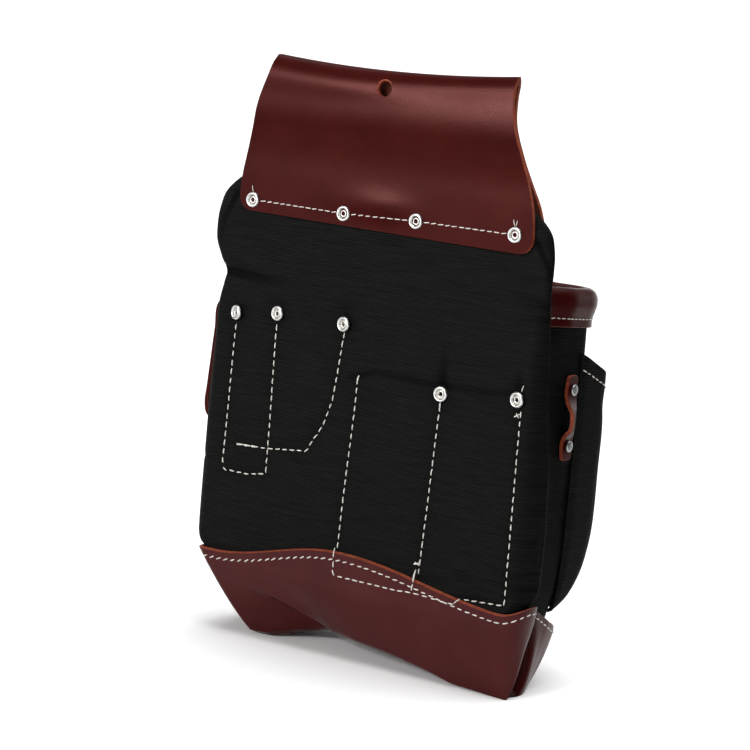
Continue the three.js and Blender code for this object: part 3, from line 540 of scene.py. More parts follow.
def oxblood_leather(name, gloss, tint, shades):
    """Waxed hide: cloudy oxblood, pebbled grain finer than a millimetre, and rubbed, glossier patches;
    painted shade darkens its colour and its gloss in folds and creases."""
    made, shader = material(name, 0.36, gloss)
    shader.inputs["Specular Tint"].default_value = (1.0, *tint, 1.0)
    cloud = noise(made, 22.0, 5.0, 0.6)
    painted_shade_scale = painted_shade_factor(made)
    # Painted shade: where it is marked, the colour and the gloss are darkened.
    link(made, calc(made, "MULTIPLY", painted_shade_scale, gloss), shader.inputs["Specular IOR Level"])
    cloud = calc(made, "MULTIPLY", cloud, painted_shade_scale)
    link(made, ramp(made, cloud, ((0.0, (0.002, 0.0003, 0.0003)), *zip((0.28, 0.52, 0.78), shades))),
         shader.inputs["Base Color"])
    rubbed = noise(made, 60.0, 6.0, 0.7)
    link(made, between(made, rubbed, 0.24, 0.37), shader.inputs["Roughness"])
    cells = node(made, "ShaderNodeTexVoronoi", {"feature": "SMOOTH_F1"}, Vector=own_place(made), Scale=1100.0)
    fine = noise(made, 2600.0, 3.0, 0.6)
    height = calc(made, "ADD", cells.outputs["Distance"], fine)
    bump(made, shader, height, 0.16, 0.22)
    return made


def plain_finish(name, base, grain, stops, wear=None, relief=None):
    """Colours that follow a noise over the piece. Wear spreads the roughness and relief raises the face, each
    by a noise of its own or, with none, by the same one. The base is the shader's own roughness, specular
    level, metallic and sheen."""
    made, shader = material(name, *base)
    cloud = noise(made, *grain)
    link(made, ramp(made, cloud, stops), shader.inputs["Base Color"])
    if wear:
        own, low, high = wear
        link(made, between(made, noise(made, *own) if own else cloud, low, high), shader.inputs["Roughness"])
    if relief:
        own, strength, distance = relief
        bump(made, shader, noise(made, *own) if own else cloud, strength, distance)
    return made


# Distance from rib to rib and from yarn to yarn.
RIB_PITCH, YARN_PITCH = 1.4, 1.25


def ribbed_nylon():
    """Black pack cloth: ribs along the weft, crossed by the warp, with slubs that run along the ribs;
    darkened by painted shade in its creases.
    """
    made, shader = material("ribbed_nylon", 0.7, 0.032)
    where = own_place(made)
    split = node(made, "ShaderNodeSeparateXYZ", Vector=where)
    drift = noise(made, 30.0, 2.0, 0.5)
    wander = calc(made, "MULTIPLY", drift, 2.0)
    turns = calc(made, "MULTIPLY", split.outputs["Z"], 2 * pi / (RIB_PITCH * MM))
    rib = calc(made, "SINE", calc(made, "ADD", turns, wander))
    across = calc(made, "ADD", split.outputs["X"], split.outputs["Y"])
    yarn = calc(made, "SINE", calc(made, "MULTIPLY", across, 2 * pi / (YARN_PITCH * MM)))
    long_way = node(made, "ShaderNodeMapping", Vector=where, Scale=(40.0, 40.0, 460.0)).outputs["Vector"]
    slub = noise(made, 1.0, 4.0, 0.6, long_way)
    weave = calc(made, "ADD", calc(made, "MULTIPLY", rib, 0.62), calc(made, "MULTIPLY", yarn, 0.08))
    shade = calc(made, "ADD", calc(made, "MULTIPLY", weave, slub), slub)
    # Painted shade: where it is marked, the cloth's colour is darkened.
    shade = calc(made, "MULTIPLY", shade, painted_shade_factor(made))
    link(made, ramp(made, shade, ((0.0, (0.0004, 0.0004, 0.0004)), (0.15, (0.0014, 0.0014, 0.0014)),
                                  (0.52, (0.0037, 0.0037, 0.0035)), (0.95, (0.0076, 0.0076, 0.0071)))),
         shader.inputs["Base Color"])
    bump(made, shader, weave, 0.4, 0.3)
    return made


# Hide of the tunnel, lip and straps, and the scuffed hide of the boot.
HIDE = oxblood_leather("oxblood_leather", 0.13, (0.38, 0.35),
                       ((0.023, 0.0017, 0.0015), (0.030, 0.0025, 0.0020), (0.039, 0.0040, 0.0033)))
BOOT_HIDE = oxblood_leather("scuffed_oxblood", 0.17, (0.68, 0.68),
                            ((0.030, 0.0028, 0.0026), (0.039, 0.0042, 0.0038), (0.049, 0.0066, 0.0060)))
# Cut edge of the hide: orange tan, streaked along the fibres.
EDGE = plain_finish(
    "raw_edge", (0.72, 0.25), (420.0, 5.0, 0.65),
    ((0.25, (0.10, 0.015, 0.006)), (0.55, (0.23, 0.042, 0.015)), (0.80, (0.36, 0.088, 0.034))),
    relief=((), 0.3, 0.25))
# Suede back of the hide: dull rust brown with a short nap.
FLESH = plain_finish(
    "flesh_side", (0.9, 0.12, 0.0, 0.15), (300.0, 6.0, 0.7),
    ((0.3, (0.075, 0.016, 0.009)), (0.7, (0.17, 0.045, 0.022))), relief=((), 0.4, 0.4))
CLOTH = ribbed_nylon()
# Waxed off-white thread with the twist of its plies.
THREAD = plain_finish(
    "white_thread", (0.6, 0.3), (700.0, 3.0, 0.6),
    ((0.3, (0.40, 0.37, 0.33)), (0.7, (0.66, 0.64, 0.59))), relief=((2200.0, 2.0), 0.5, 0.2))
# Plated brass: bright, with fine clouding and scuffs.
NICKEL = plain_finish(
    "bright_nickel", (0.22, 0.5, 1.0), (500.0, 5.0, 0.6),
    ((0.3, (0.42, 0.42, 0.41)), (0.7, (0.64, 0.64, 0.63))), ((900.0, 4.0), 0.26, 0.46), ((), 0.12, 0.12))
# Tarnish inside a tubular rivet: dark brown brass.
TARNISH = plain_finish(
    "dark_brass", (0.5, 0.4, 0.6), (700.0, 4.0, 0.6),
    ((0.3, (0.24, 0.22, 0.19)), (0.7, (0.46, 0.42, 0.37))))
# Flat grey rivet cap, brushed by use.
CAP = plain_finish(
    "dull_cap", (0.42, 0.5, 1.0), (350.0, 5.0, 0.6),
    ((0.3, (0.30, 0.31, 0.31)), (0.7, (0.48, 0.49, 0.49))), ((), 0.34, 0.52), ((1500.0, 3.0), 0.15, 0.1))
HIDE_LOOKS, BOOT_LOOKS = (HIDE, FLESH, EDGE), (BOOT_HIDE, FLESH, EDGE)


# Back panel

panel_left, panel_right = curves(PANEL_OUTLINE)


def panel_roll(x, z):
    """How far the flanks bend back: the square of the way from flat to rim, easing out to the ears."""
    edge = np.clip((np.abs(x) - ROLL_FROM) / (ROLL_TO - ROLL_FROM), 0, 1)
    return ROLL * edge ** 2 * (1 - smoothstep(z, ROLL_FULL, ROLL_NONE))


def panel_far(x, z):
    """Depth of the panel's far face."""
    return panel_roll(x, z) + PANEL_THICK


def crowded(count, pull):
    """Shares from 0 to 1 that crowd towards both ends: u less a sine of one turn."""
    u = np.linspace(0, 1, count)
    return u - pull * np.sin(2 * pi * u) / (2 * pi)


def panel_places(shares, heights):
    """Across and up on the panel for shares of its width at each height, the round drop towards its rim, and
    how far out on the rim each place is."""
    z = heights[:, None] + 0 * shares[None, :]
    left, right = panel_left(z), panel_right(z)
    x = -left + shares[None, :] * (left + right)
    side = 1 + (np.abs(x) - np.where(x < 0, left, right)) / PANEL_RIM_WIDTH
    ends = 1 + np.maximum(z - PANEL_TOP, PANEL_BOTTOM - z) / PANEL_RIM_WIDTH
    edge = np.clip(np.maximum(side, ends), 0, 1)
    return x, z, PANEL_RIM * (1 - np.sqrt(1 - edge ** 2)), edge


def path_distance(x, z, path):
    """Distance of places from a bent line, and how far along the line (0 to 1) the nearest point is."""
    path = np.asarray(path, float)
    knots = chord_knots(path)
    best = np.full(np.shape(x), np.inf)
    along = np.zeros(np.shape(x))
    for k in range(len(path) - 1):
        step = path[k + 1] - path[k]
        t = np.clip(((x - path[k, 0]) * step[0] + (z - path[k, 1]) * step[1]) / (step @ step), 0, 1)
        d = np.hypot(x - path[k, 0] - t * step[0], z - path[k, 1] - t * step[1])
        along = np.where(d < best, (knots[k] + t * (knots[k + 1] - knots[k])) / knots[-1], along)
        best = np.minimum(best, d)
    return best, along


def seam_pull(x, z):
    """How far the stitching draws the face in: a narrow groove in a broad hollow along each seam."""
    depth = np.zeros(np.shape(x))
    for path in SEAMS.values():
        d, _ = path_distance(x, z, path)
        depth = np.maximum(depth, 0.7 * bell(d, 1.8) + 0.4 * bell(d, 7))
    return depth


def crease_pull(x, z):
    """How deep the creases and rivet dimples are: bells across each line that fade from end to end."""
    depth = np.zeros(np.shape(x))
    for path, start, end, width in CREASES:
        d, along = path_distance(x, z, path)
        depth += mix(start, end, along) * bell(d, width)
    for rivet_x, rivet_z in PANEL_RIVETS:
        depth += np.exp(-((x - rivet_x) ** 2 + (z - rivet_z) ** 2) / RIVET_DIMPLE ** 2)
    return depth


def pocket_swell(x, z):
    """Padding pushed out by the sleeve pocket's hem: most just below its edge, falling off as a square."""
    edge = np.interp(x, *HEM_LINE)
    below = np.clip((edge - z) / HEM_REACH, 0, 1)
    inside = smoothstep(x, *HEM_LEFT) * (1 - smoothstep(x, *HEM_RIGHT))
    return HEM_PUSH * inside * np.where(z < edge, (1 - below) ** 2, 0)


def ripple(x, z):
    """Slow unevenness of the padding: three crossed waves."""
    return (0.30 * np.sin(x / 23 + z / 41) + 0.22 * np.sin(x / 37 - z / 19 + 1.3)
            + 0.16 * np.sin(x / 11 + z / 29 + 0.4))


def blown_up(points, faces, pinned):
    """Where the points of a closed shell go when it is blown up as cloth with the pinned points held."""
    mesh = bpy.data.meshes.new("panel_cloth")
    mesh.from_pydata((points * MM).tolist(), [], faces.tolist())
    cloth = new_object("panel_cloth", mesh)
    scene = bpy.context.scene
    cloth.vertex_groups.new(name="sewn").add(np.flatnonzero(pinned).tolist(), 1.0, "REPLACE")
    settings = cloth.modifiers.new("Cloth", "CLOTH").settings
    settings.quality = 6
    settings.use_pressure = True
    settings.uniform_pressure_force = 4.0
    settings.vertex_group_mass = "sewn"
    settings.bending_stiffness = 2.0
    settings.effector_weights.gravity = 0.0
    for step in range(1, 21):
        scene.frame_set(step)
    shape = cloth.evaluated_get(bpy.context.evaluated_depsgraph_get()).to_mesh()
    moved = np.empty(len(points) * 3, np.float32)
    shape.vertices.foreach_get("co", moved)
    bpy.data.objects.remove(cloth)
    bpy.data.meshes.remove(mesh)
    scene.frame_set(1)
    return moved.reshape(-1, 3).astype(float) / MM


def panel_shell(x, z, near, far):
    """Points and quads of a closed shell from a near and a far face that share their outline."""
    rows, columns = x.shape
    points = np.concatenate([joined(x, y, z).reshape(-1, 3) for y in (near, far)])
    front = grid_faces(rows, columns)
    index = np.arange(rows * columns).reshape(rows, columns)
    loop = np.concatenate([index[0, :-1], index[:-1, -1], index[-1, :0:-1], index[:0:-1, 0]])
    after = np.roll(loop, -1)
    back = front[:, ::-1] + rows * columns
    rim = joined(loop, loop + rows * columns, after + rows * columns, after)
    return points, np.concatenate([front, back, rim])


def panel_swell(shares, heights):
    """Swelling of the near face: cloth simulated on a coarse shell, eased to a most and spread by cubics."""
    coarse_shares, coarse_heights = crowded(52, 0.3), np.linspace(PANEL_BOTTOM, PANEL_TOP, 54)
    x, z, drop, edge = panel_places(coarse_shares, coarse_heights)
    near = panel_roll(x, z) + np.maximum(drop, SWELL_START)
    points, faces = panel_shell(x, z, near, panel_far(x, z) - drop)
    sewn = np.minimum.reduce([path_distance(x, z, path)[0] for path in SEAMS.values()])
    held = (edge > HELD_EDGE) | (sewn < HELD_SEAM) | (z > HELD_TOP) | (z < HELD_BOTTOM)
    pinned = np.concatenate([held.ravel(), np.ones(held.size, bool)])
    moved = blown_up(points, faces, pinned)[:held.size, 1].reshape(held.shape)
    out = SWELL_MOST * np.tanh(np.maximum(near - moved, 0) / SWELL_MOST)
    wide = curve(coarse_shares, out.T)(shares)
    return curve(coarse_heights, wide.T)(heights)


PANEL_SHARES = crowded(216, 0.55)
PANEL_HEIGHTS = np.linspace(PANEL_BOTTOM, PANEL_TOP, 156)


def back_panel():
    """Padded panel: a near face with simulated padding, seams and creases, a plain far face, a round rim."""
    x, z, drop, edge = panel_places(PANEL_SHARES, PANEL_HEIGHTS)
    swell = panel_swell(PANEL_SHARES, PANEL_HEIGHTS)
    free = (1 - smoothstep(z, *LOOSE_TOP)) * smoothstep(z, *LOOSE_BOTTOM) * (1 - edge ** 2)
    relief = swell + free * (pocket_swell(x, z) + ripple(x, z) - SWELL_START)
    near = panel_roll(x, z) + drop - relief + seam_pull(x, z) * (1 - edge) + crease_pull(x, z)
    far = panel_far(x, z) - drop
    near = np.minimum(near, far - PANEL_LEAST)
    points, faces = panel_shell(x, z, near, far)
    faces = facing(points, faces, (0, 4.5, 165))
    made = piece("padded_panel", points, faces, (CLOTH,), ["back_panel"])
    # Painted shade in the creases, rivet dimples and along the seams, for the finish to darken.
    painted_shade = np.clip(crease_pull(x, z) / CREASE_FULL_SHADE + SEAM_SHADE * seam_pull(x, z), 0, SHADE_MOST)
    mark_painted_shade(made, np.concatenate([painted_shade.ravel(), np.zeros(len(points) - painted_shade.size)]))
    return near


def on_panel(near, path):
    """Puts places across and up on the panel's near face, from the grid of its depths."""
    x, z = path[:, 0], path[:, 1]
    share = (x + panel_left(z)) / (panel_left(z) + panel_right(z))
    j = np.interp(share, PANEL_SHARES, np.arange(len(PANEL_SHARES)))
    i = np.interp(z, PANEL_HEIGHTS, np.arange(len(PANEL_HEIGHTS)))
    i0 = np.minimum(i.astype(int), len(PANEL_HEIGHTS) - 2)
    j0 = np.minimum(j.astype(int), len(PANEL_SHARES) - 2)
    a, b = i - i0, j - j0
    y = ((1 - a) * ((1 - b) * near[i0, j0] + b * near[i0, j0 + 1])
         + a * ((1 - b) * near[i0 + 1, j0] + b * near[i0 + 1, j0 + 1]))
    return joined(x, y, z)


# Belt tunnel

tunnel_mid, tunnel_half = curves(TUNNEL_OUTLINE)
FOLD_LINE = smooth_path(TUNNEL_FOLD, 900)
FOLD_LENGTH = chord_knots(FOLD_LINE[:, :2])


def fold_at(s):
    """Depth, height and trim of the tunnel's strip at a length along it."""
    return tuple(np.interp(s, FOLD_LENGTH, FOLD_LINE[:, k]) for k in range(3))


def tunnel_bulge(x, z, share=1.0):
    """The near leaf swells over the panel's top edge between its rivets, and stands straighter under the fold
    towards its left end."""
    straight = (1 - smoothstep(share, *STRAIGHT_SHARE)) * smoothstep(FOLD_TOP - z, 0, FOLD_EASE)
    straight = straight * bell(z - STRAIGHT_Z[0], STRAIGHT_Z[1])
    over_edge = np.exp(-((x - BULGE_X[0]) / BULGE_X[1]) ** 2 - ((z - BULGE_Z[0]) / BULGE_Z[1]) ** 2)
    return -BULGE * over_edge - STRAIGHT * straight


def tunnel_point(x, s):
    """A place on the strip; both hems fall evenly from the left end to the right, and the fold sags."""
    y, z, _ = fold_at(s)
    near = s < FOLD_LENGTH[-1] / 2
    share = (x - tunnel_mid(z)) / (2 * tunnel_half(z)) + 0.5
    fall = TUNNEL_FALL * share * (1 - smoothstep(z, *TUNNEL_FALL_Z))
    fall += (TUNNEL_SAG * 4 * share * (1 - share) - TUNNEL_LIFT) * smoothstep(z, *TUNNEL_SAG_Z)
    return joined(x, y + np.where(near, tunnel_bulge(x, z, share), 0), z - fall)


def belt_tunnel():
    """One strip folded over at the top: columns at shares of its width, rows at lengths along the fold, with
    round corners at its hems, and a ring of quads from a square of cells to each hang hole."""
    total = FOLD_LENGTH[-1]
    corner = TUNNEL_CORNER * (1 - np.cos(np.linspace(0, pi / 2, 7)))
    straight = np.linspace(TUNNEL_CORNER, total - TUNNEL_CORNER, 76)[1:-1]
    s = np.concatenate([corner, straight, total - corner[::-1]])
    _, z, trim = fold_at(s)
    inside = np.maximum(0, TUNNEL_CORNER - np.minimum(s, total - s))
    half = tunnel_half(z) - trim - (TUNNEL_CORNER - np.sqrt(TUNNEL_CORNER ** 2 - inside ** 2))
    across = np.linspace(-1, 1, 82)
    x = tunnel_mid(z)[:, None] + half[:, None] * across
    place = joined(x, s[:, None])
    rows, columns = x.shape
    index = np.arange(rows * columns).reshape(rows, columns)
    flat, faces = [place.reshape(-1, 2)], grid_faces(rows, columns)
    keep = np.ones((rows - 1, columns - 1), bool)
    rings = []
    for leaf, radius in zip((s < total / 2, s >= total / 2), HANG_HOLE_RADIUS):
        order = np.flatnonzero(leaf)
        row = order[np.argmin(np.abs(z[order] - HANG_HOLE[1]))]
        column = int(np.argmin(np.abs(x[row] - HANG_HOLE[0])))
        centre = np.array([HANG_HOLE[0], np.interp(HANG_HOLE[1], *sorted_pair(z[order], s[order]))])
        r0, r1, c0, c1 = row - 3, row + 3, column - 3, column + 3
        keep[r0:r1, c0:c1] = False
        loop = np.concatenate([index[r0, c0:c1], index[r0:r1, c1], index[r1, c1:c0:-1],
                               index[r1:r0:-1, c0]])
        arm = place.reshape(-1, 2)[loop] - centre
        hole = centre + radius * arm / np.linalg.norm(arm, axis=1, keepdims=True)
        start = sum(map(len, flat))
        flat.append(np.concatenate([hole, mix(hole, centre + arm, 0.12), mix(hole, centre + arm, 0.5)]))
        ring = np.concatenate([start + np.arange(3 * len(loop)), loop]).reshape(4, -1)
        rings.append(ring.ravel()[grid_faces(4, len(loop), around=True)[:, ::-1]])
    flat = np.concatenate(flat)
    faces = np.concatenate([faces[keep.ravel()], *rings])
    used, packed = np.unique(faces, return_inverse=True)
    points = tunnel_point(flat[used, 0], flat[used, 1])
    faces = facing(points, packed.reshape(-1, 4), (2, 2, 318))
    made = piece("folded_tunnel", points, faces, HIDE_LOOKS, ["belt_tunnel"])
    thicken(made, LEATHER, inside=1, rim=2)
    near = s < total / 2
    middle = tunnel_point(HANG_HOLE[0], np.interp(HANG_HOLE[1], *sorted_pair(z[near], s[near])))
    ring = lathe(np.concatenate([HOLE_EDGE, HOLE_EDGE[:1]]), 40)
    points = middle + joined(ring[..., 0], -LEATHER / 2 - ring[..., 2], ring[..., 1])
    piece("hang_hole_edge", points, grid_faces(*ring.shape[:2], around=True), (EDGE,))


def sorted_pair(keys, values):
    """Keys in rising order with their values, for interpolation."""
    order = np.argsort(keys)
    return keys[order], values[order]


# Rivets

def lathe(profile, sides=40):
    """A profile of radius and height turned round an axis: points as right, up and along the axis."""
    angle = np.arange(sides) * 2 * pi / sides
    r, h = profile[:, 0], profile[:, 1]
    return joined(r[:, None] * np.cos(angle), r[:, None] * np.sin(angle), h[:, None])


def turned(profile, sides=40):
    """A closed turned solid: rings of quads, with a fan at each end of the profile on the axis."""
    rings = lathe(profile[1:-1], sides)
    rows = len(rings)
    ends = np.array([[0, 0, profile[0, 1]], [0, 0, profile[-1, 1]]])
    points = np.concatenate([rings.reshape(-1, 3), ends])
    j = np.arange(sides)
    k = (j + 1) % sides
    first = joined(rows * sides, k, j)
    last = (rows - 1) * sides
    second = joined(rows * sides + 1, last + j, last + k)
    return points, grid_faces(rows, sides, around=True).tolist() + first.tolist() + second.tolist()


def clinch_rivet(name, x, z, face_y, back_y, nodes, turn=0.0):
    """Tubular rivet: a rolled ring round a hollow on the near side, turned a little to the left, a shank and
    a flat head behind."""
    depth = back_y - face_y
    head = [(radius, -depth - height) for radius, height in RIVET_HEAD]
    profile = np.concatenate([RIVET_FACE, [(RIVET_SHANK, -GAP), (RIVET_SHANK, -depth - GAP)], head])
    points, faces = turned(profile)
    right, up, out = points.T
    angle = np.where(out > RIVET_FACE[0, 1] - GAP, radians(turn), 0)
    placed = joined(x + right * np.cos(angle) - out * np.sin(angle),
                    face_y - out * np.cos(angle) - right * np.sin(angle), z + up)
    radius = (profile[1:-2, 0] + profile[2:-1, 0]) / 2
    front = np.arange(len(radius)) < len(RIVET_FACE) - 2
    dark = front & np.logical_or.reduce([(radius > low) & (radius < high) for low, high in RIVET_DARK])
    sides = len(faces) // (len(radius) + 2)
    looks = np.concatenate([np.repeat(dark, sides), np.ones(sides), np.zeros(sides)])
    piece(name, placed, faces, (NICKEL, TARNISH), nodes, looks)


def cap_rivet(name, sign, x, y, z, nodes):
    """Solid rivet: a low cap with a soft shoulder on the strap, a shank and a plain head inside."""
    top = LOOP_SEAT + LEATHER + GAP
    low = -NYLON - GAP
    profile = np.array([
        (0, top + CAP_HEIGHT), (1.6, top + CAP_HEIGHT), (2.6, top + CAP_HEIGHT - 0.12),
        (3.25, top + CAP_HEIGHT - 0.38), (CAP_RADIUS, top + 0.5), (CAP_RADIUS, top), (1.8, top), (1.8, low),
        (3.5, low), (CAP_RADIUS, low - 0.4), (3.3, low - CAP_HEIGHT), (0, low - CAP_HEIGHT),
    ])
    points, faces = turned(profile, 36)
    placed = joined(x + sign * points[:, 2], y + points[:, 0] * sign, z + points[:, 1])
    piece(name, placed, faces, (CAP,), nodes)


# Pouches and pockets

pouch_half, pouch_front, pouch_corner = curves(POUCH_SECTIONS)


def stations(side=16, corner=14, front=60):
    """Places along a pouch's plan, one unit each for left side, left corner, front, right corner and right
    side."""
    counts = (side, corner, front, corner, side)
    spans = [k + np.arange(count) / count for k, count in enumerate(counts)]
    return np.concatenate([*spans, [5.0]])


def plan(s, half, back, front, corner):
    """Straight side, quarter circle, bowed front, quarter circle and straight side, from left to right."""
    left, right = pi / 2 * np.clip(s - 1, 0, 1), pi / 2 * np.clip(s - 3, 0, 1)
    middle, side = np.clip(s - 2, 0, 1), front - corner - back
    x = -half + corner * (1 - np.cos(left)) + 2 * (half - corner) * middle + corner * np.sin(right)
    y = (back + side * (np.clip(s, 0, 1) - np.clip(s - 4, 0, 1)) + corner * np.sin(left)
         + 4 * POUCH_BOW * middle * (1 - middle) - corner * (1 - np.cos(right)))
    return x, y


def pouch_plan(s, z, out=0.0, back=None):
    """The main pouch's plan at a height, moved outwards."""
    half = pouch_half(z)
    back = panel_far(half, z) + POUCH_SEAT if back is None else back
    return plan(s, half + out, back, pouch_front(z) + out, pouch_corner(z) + out)


def seam_height(s):
    """Height of the lip's seam: a little lower towards the front."""
    _, y = pouch_plan(s, LIP_PLAN_AT)
    return LIP_SEAM - LIP_DROP * smoothstep(y, LIP_BACK, POUCH_FRONT)


def boot_edge(x, y):
    """Height of the boot's wavy top edge: a squared cosine from its peak, turned up at its right corner."""
    reach = np.where(x < BOOT_PEAK_X, *BOOT_REACH)
    along = np.clip((x - BOOT_PEAK_X) / reach, -1, 1)
    turn = np.clip((x - BOOT_UPTURN_X[0]) / (BOOT_UPTURN_X[1] - BOOT_UPTURN_X[0]), 0, 1)
    near = BOOT_LOW + BOOT_PEAK * np.cos(along * pi / 2) ** 2 + BOOT_UPTURN * turn ** 2
    return mix(near, BOOT_FRONT_EDGE, smoothstep(y, *BOOT_FRONT_Y))


def drawn_in(x, y, share=1.0):
    """The mouth's two ends are drawn in behind the panel, easing out along the gussets."""
    return x - np.sign(x) * MOUTH_PINCH * share * (1 - smoothstep(y, *MOUTH_PINCH_Y))


def pouch_sag(s, v):
    """Slack of the cloth: the gussets fold in between panel and front, the front sags and ripples."""
    gusset = bell(np.minimum(s, 5 - s) - 0.45, 0.26)
    front = np.clip(1 - np.abs(s - 2.5) / 0.6, 0, 1)
    return (-2.0 * gusset * np.sin(pi * np.clip(v, 0, 1)) ** 0.8
            + 0.8 * front * np.sin(pi * v) + 0.45 * np.sin(9 * v + 5 * s) * np.sin(pi * v))


def main_pouch():
    """Gussets and front in one wall: the plan at each height from inside the boot up to the lip."""
    s = stations()
    v = np.linspace(0, 1, 70)[:, None]
    low = boot_edge(*pouch_plan(s, BOOT_PLAN_AT)) - BOOT_TUCK
    z = mix(low, seam_height(s) + LIP_UPSTAND, v)
    x, y = pouch_plan(s, z, pouch_sag(s, v))
    grid = joined(drawn_in(x, y, smoothstep(v, 0.5, 0.95)), y, z)
    sheet("pouch_wall", grid, (0, 30, 140), (CLOTH,), "nylon", "main_pouch", NYLON, offset=-1.0)


def pouch_lip():
    """Strip rolled over the mouth: the lip's cross-section carried round the pouch's plan."""
    s = stations()
    section = evenly(smooth_path(LIP_PROFILE, 300), count=44)
    z = seam_height(s)
    x, y = pouch_plan(s, z, section[:, :1], LIP_BACK)
    points = joined(drawn_in(x, y), y, z + section[:, 1:]).reshape(-1, 3)
    made = piece("rolled_lip", points, grid_faces(*x.shape)[:, ::-1], HIDE_LOOKS, ["pouch_lip"])
    thicken(made, LEATHER, inside=1, rim=2)


pocket_out, = curves(POCKET_PROFILE)
POCKET_SEAT = GAP + NYLON / 2


def pocket_point(s, up, outset=0.0):
    """Outer pocket: the pouch's plan moved forward by the profile, up to a rim that slopes to the front."""
    out = pocket_out(up) + outset
    corner = POUCH_CORNER + POCKET_GROWTH * out
    sewn = np.maximum(1 - smoothstep(up, 0, 0.06), bell(np.minimum(s, 5 - s), 0.15))
    seat = POCKET_SEAT * (1 - 0.8 * sewn)

    def around(z_half, front):
        return plan(s, z_half + seat, POCKET_BACK, front + out, corner)
    _, rim_y = around(pouch_half(POCKET_RIM), POUCH_FRONT)
    z = mix(POCKET_BOTTOM, POCKET_RIM - POCKET_SLOPE * (rim_y - POCKET_BACK), up)
    x, y = around(pouch_half(z), pouch_front(z))
    return joined(x, y, z)


def pocket_slack(s, up):
    """Soft upright ripples in the outer pocket and a hollow under its hem."""
    upright, level = np.sin(7.3 * s + 3 * up), np.sin(17 * up + 2 * s)
    return 0.9 * upright * np.sin(pi * up) + 0.6 * level * np.sin(pi * up) - 1.4 * bell(up - 0.86, 0.05)


def outer_pocket():
    """Bellows pocket sewn on along its sides and bottom, its wall following the profile up to the hem."""
    s = stations(10, 16, 60)
    up = np.concatenate([np.linspace(0, 0.14, 18)[:-1], np.linspace(0.14, 1, 60)])[:, None]
    slack = pocket_slack(s, up) * smoothstep(up, 0.02, 0.12)
    grid = pocket_point(s, up, slack)
    sheet("bellows_pocket", grid, (0, 60, 110), (CLOTH,), "nylon", "outer_pocket", NYLON)


def inner_pocket(name, node_name, left, right, top, seams, stand, bottom, step):
    """Ply that lies on the panel along its seams and stands off between them as half a sine wave."""
    x = np.linspace(left, right, 90)[None, :]
    v = np.linspace(0, 1, 60)[:, None]
    z = mix(mix(*bottom, smoothstep(x, step - STEP_EASE, step + STEP_EASE)), top, v)
    rise = np.zeros(x.shape)
    for a, b in zip(seams[:-1], seams[1:]):
        t = np.clip((x - a - SEAM_FLAT) / (b - a - 2 * SEAM_FLAT), 0, 1)
        rise = np.maximum(rise, np.sin(pi * t))
    y = panel_far(x, z) + GAP + PLY / 2 + stand * rise * (1 - (1 - v) ** 3)
    sheet(name, joined(x, y, z), (0, -200, 150), (CLOTH,), "nylon", node_name, PLY)


# Boot

def sole_behind(points):
    """Where the wall behind the crease meets the sole: from fold to corner, then along the far edge."""
    right = (points[:, 0] > 0)[:, None]
    half, front, corner = POUCH_SECTIONS[1, 1:]
    along = np.clip((points[:, 1:] - BOOT_SEAM_Y) / (front - corner - BOOT_SEAM_Y), 0, 1)
    turned_by = np.sqrt(np.clip((points[:, 1:] - front + corner) / corner, 0, 1))
    fold, far = (np.where(right, place[1], place[-1]) for place in (SOLE_FOLD, SOLE_CORNER))
    side = mix(fold, far, along)
    side[:, :1] += right * GUSSET_BULGE * np.sin(pi * along)
    across = np.clip((half - np.abs(points[:, 0])) / half, 0, 1)
    face = joined(far[:, 0] * (1 - across), mix(SOLE_FAR, far[:, 1], (1 - across) ** 2))
    return mix(side, face, turned_by)


def boot_end(sign):
    """Stations round one end, over the panel's flank, its rim and the crease folded in behind it: top, foot,
    how far each is held to the panel, its lift off the floor and its pinch."""
    t = np.linspace(0, BOOT_FLANK_TO, 4)[1:]
    reach = mix(BOOT_FLAT[sign], BOOT_FLANK[sign], t)
    slope = panel_roll(reach, 0) - panel_roll(reach - 1, 0)
    out = unit(joined(slope, -np.ones(3))) * (BOOT_SEAT + LEATHER)
    end = SOLE_END[sign]
    rim = BOOT_RIM[sign] + BOOT_SEAT + LEATHER
    top = np.concatenate([joined(sign * (reach + out[:, 0]), panel_roll(reach, 0) + out[:, 1]),
                          [(sign * rim, BOOT_RIM_Y), (sign * BOOT_CREASE[0], BOOT_CREASE[1])]])
    foot = np.concatenate([joined(end + sign * t, SOLE_NEAR[sign] + t * t),
                           [SOLE_RIM[sign], SOLE_CREASE[sign]]])
    held = np.array([1, 1, 1, 1, 0.0])
    lift = np.where(sign < 0, LEFT_LIFT, 0.0) * np.array([1, 1, 1, 0.5, 0])
    return top, foot, held, lift, np.array([0, 0, 0, 0, CREASE_PINCH[sign]])


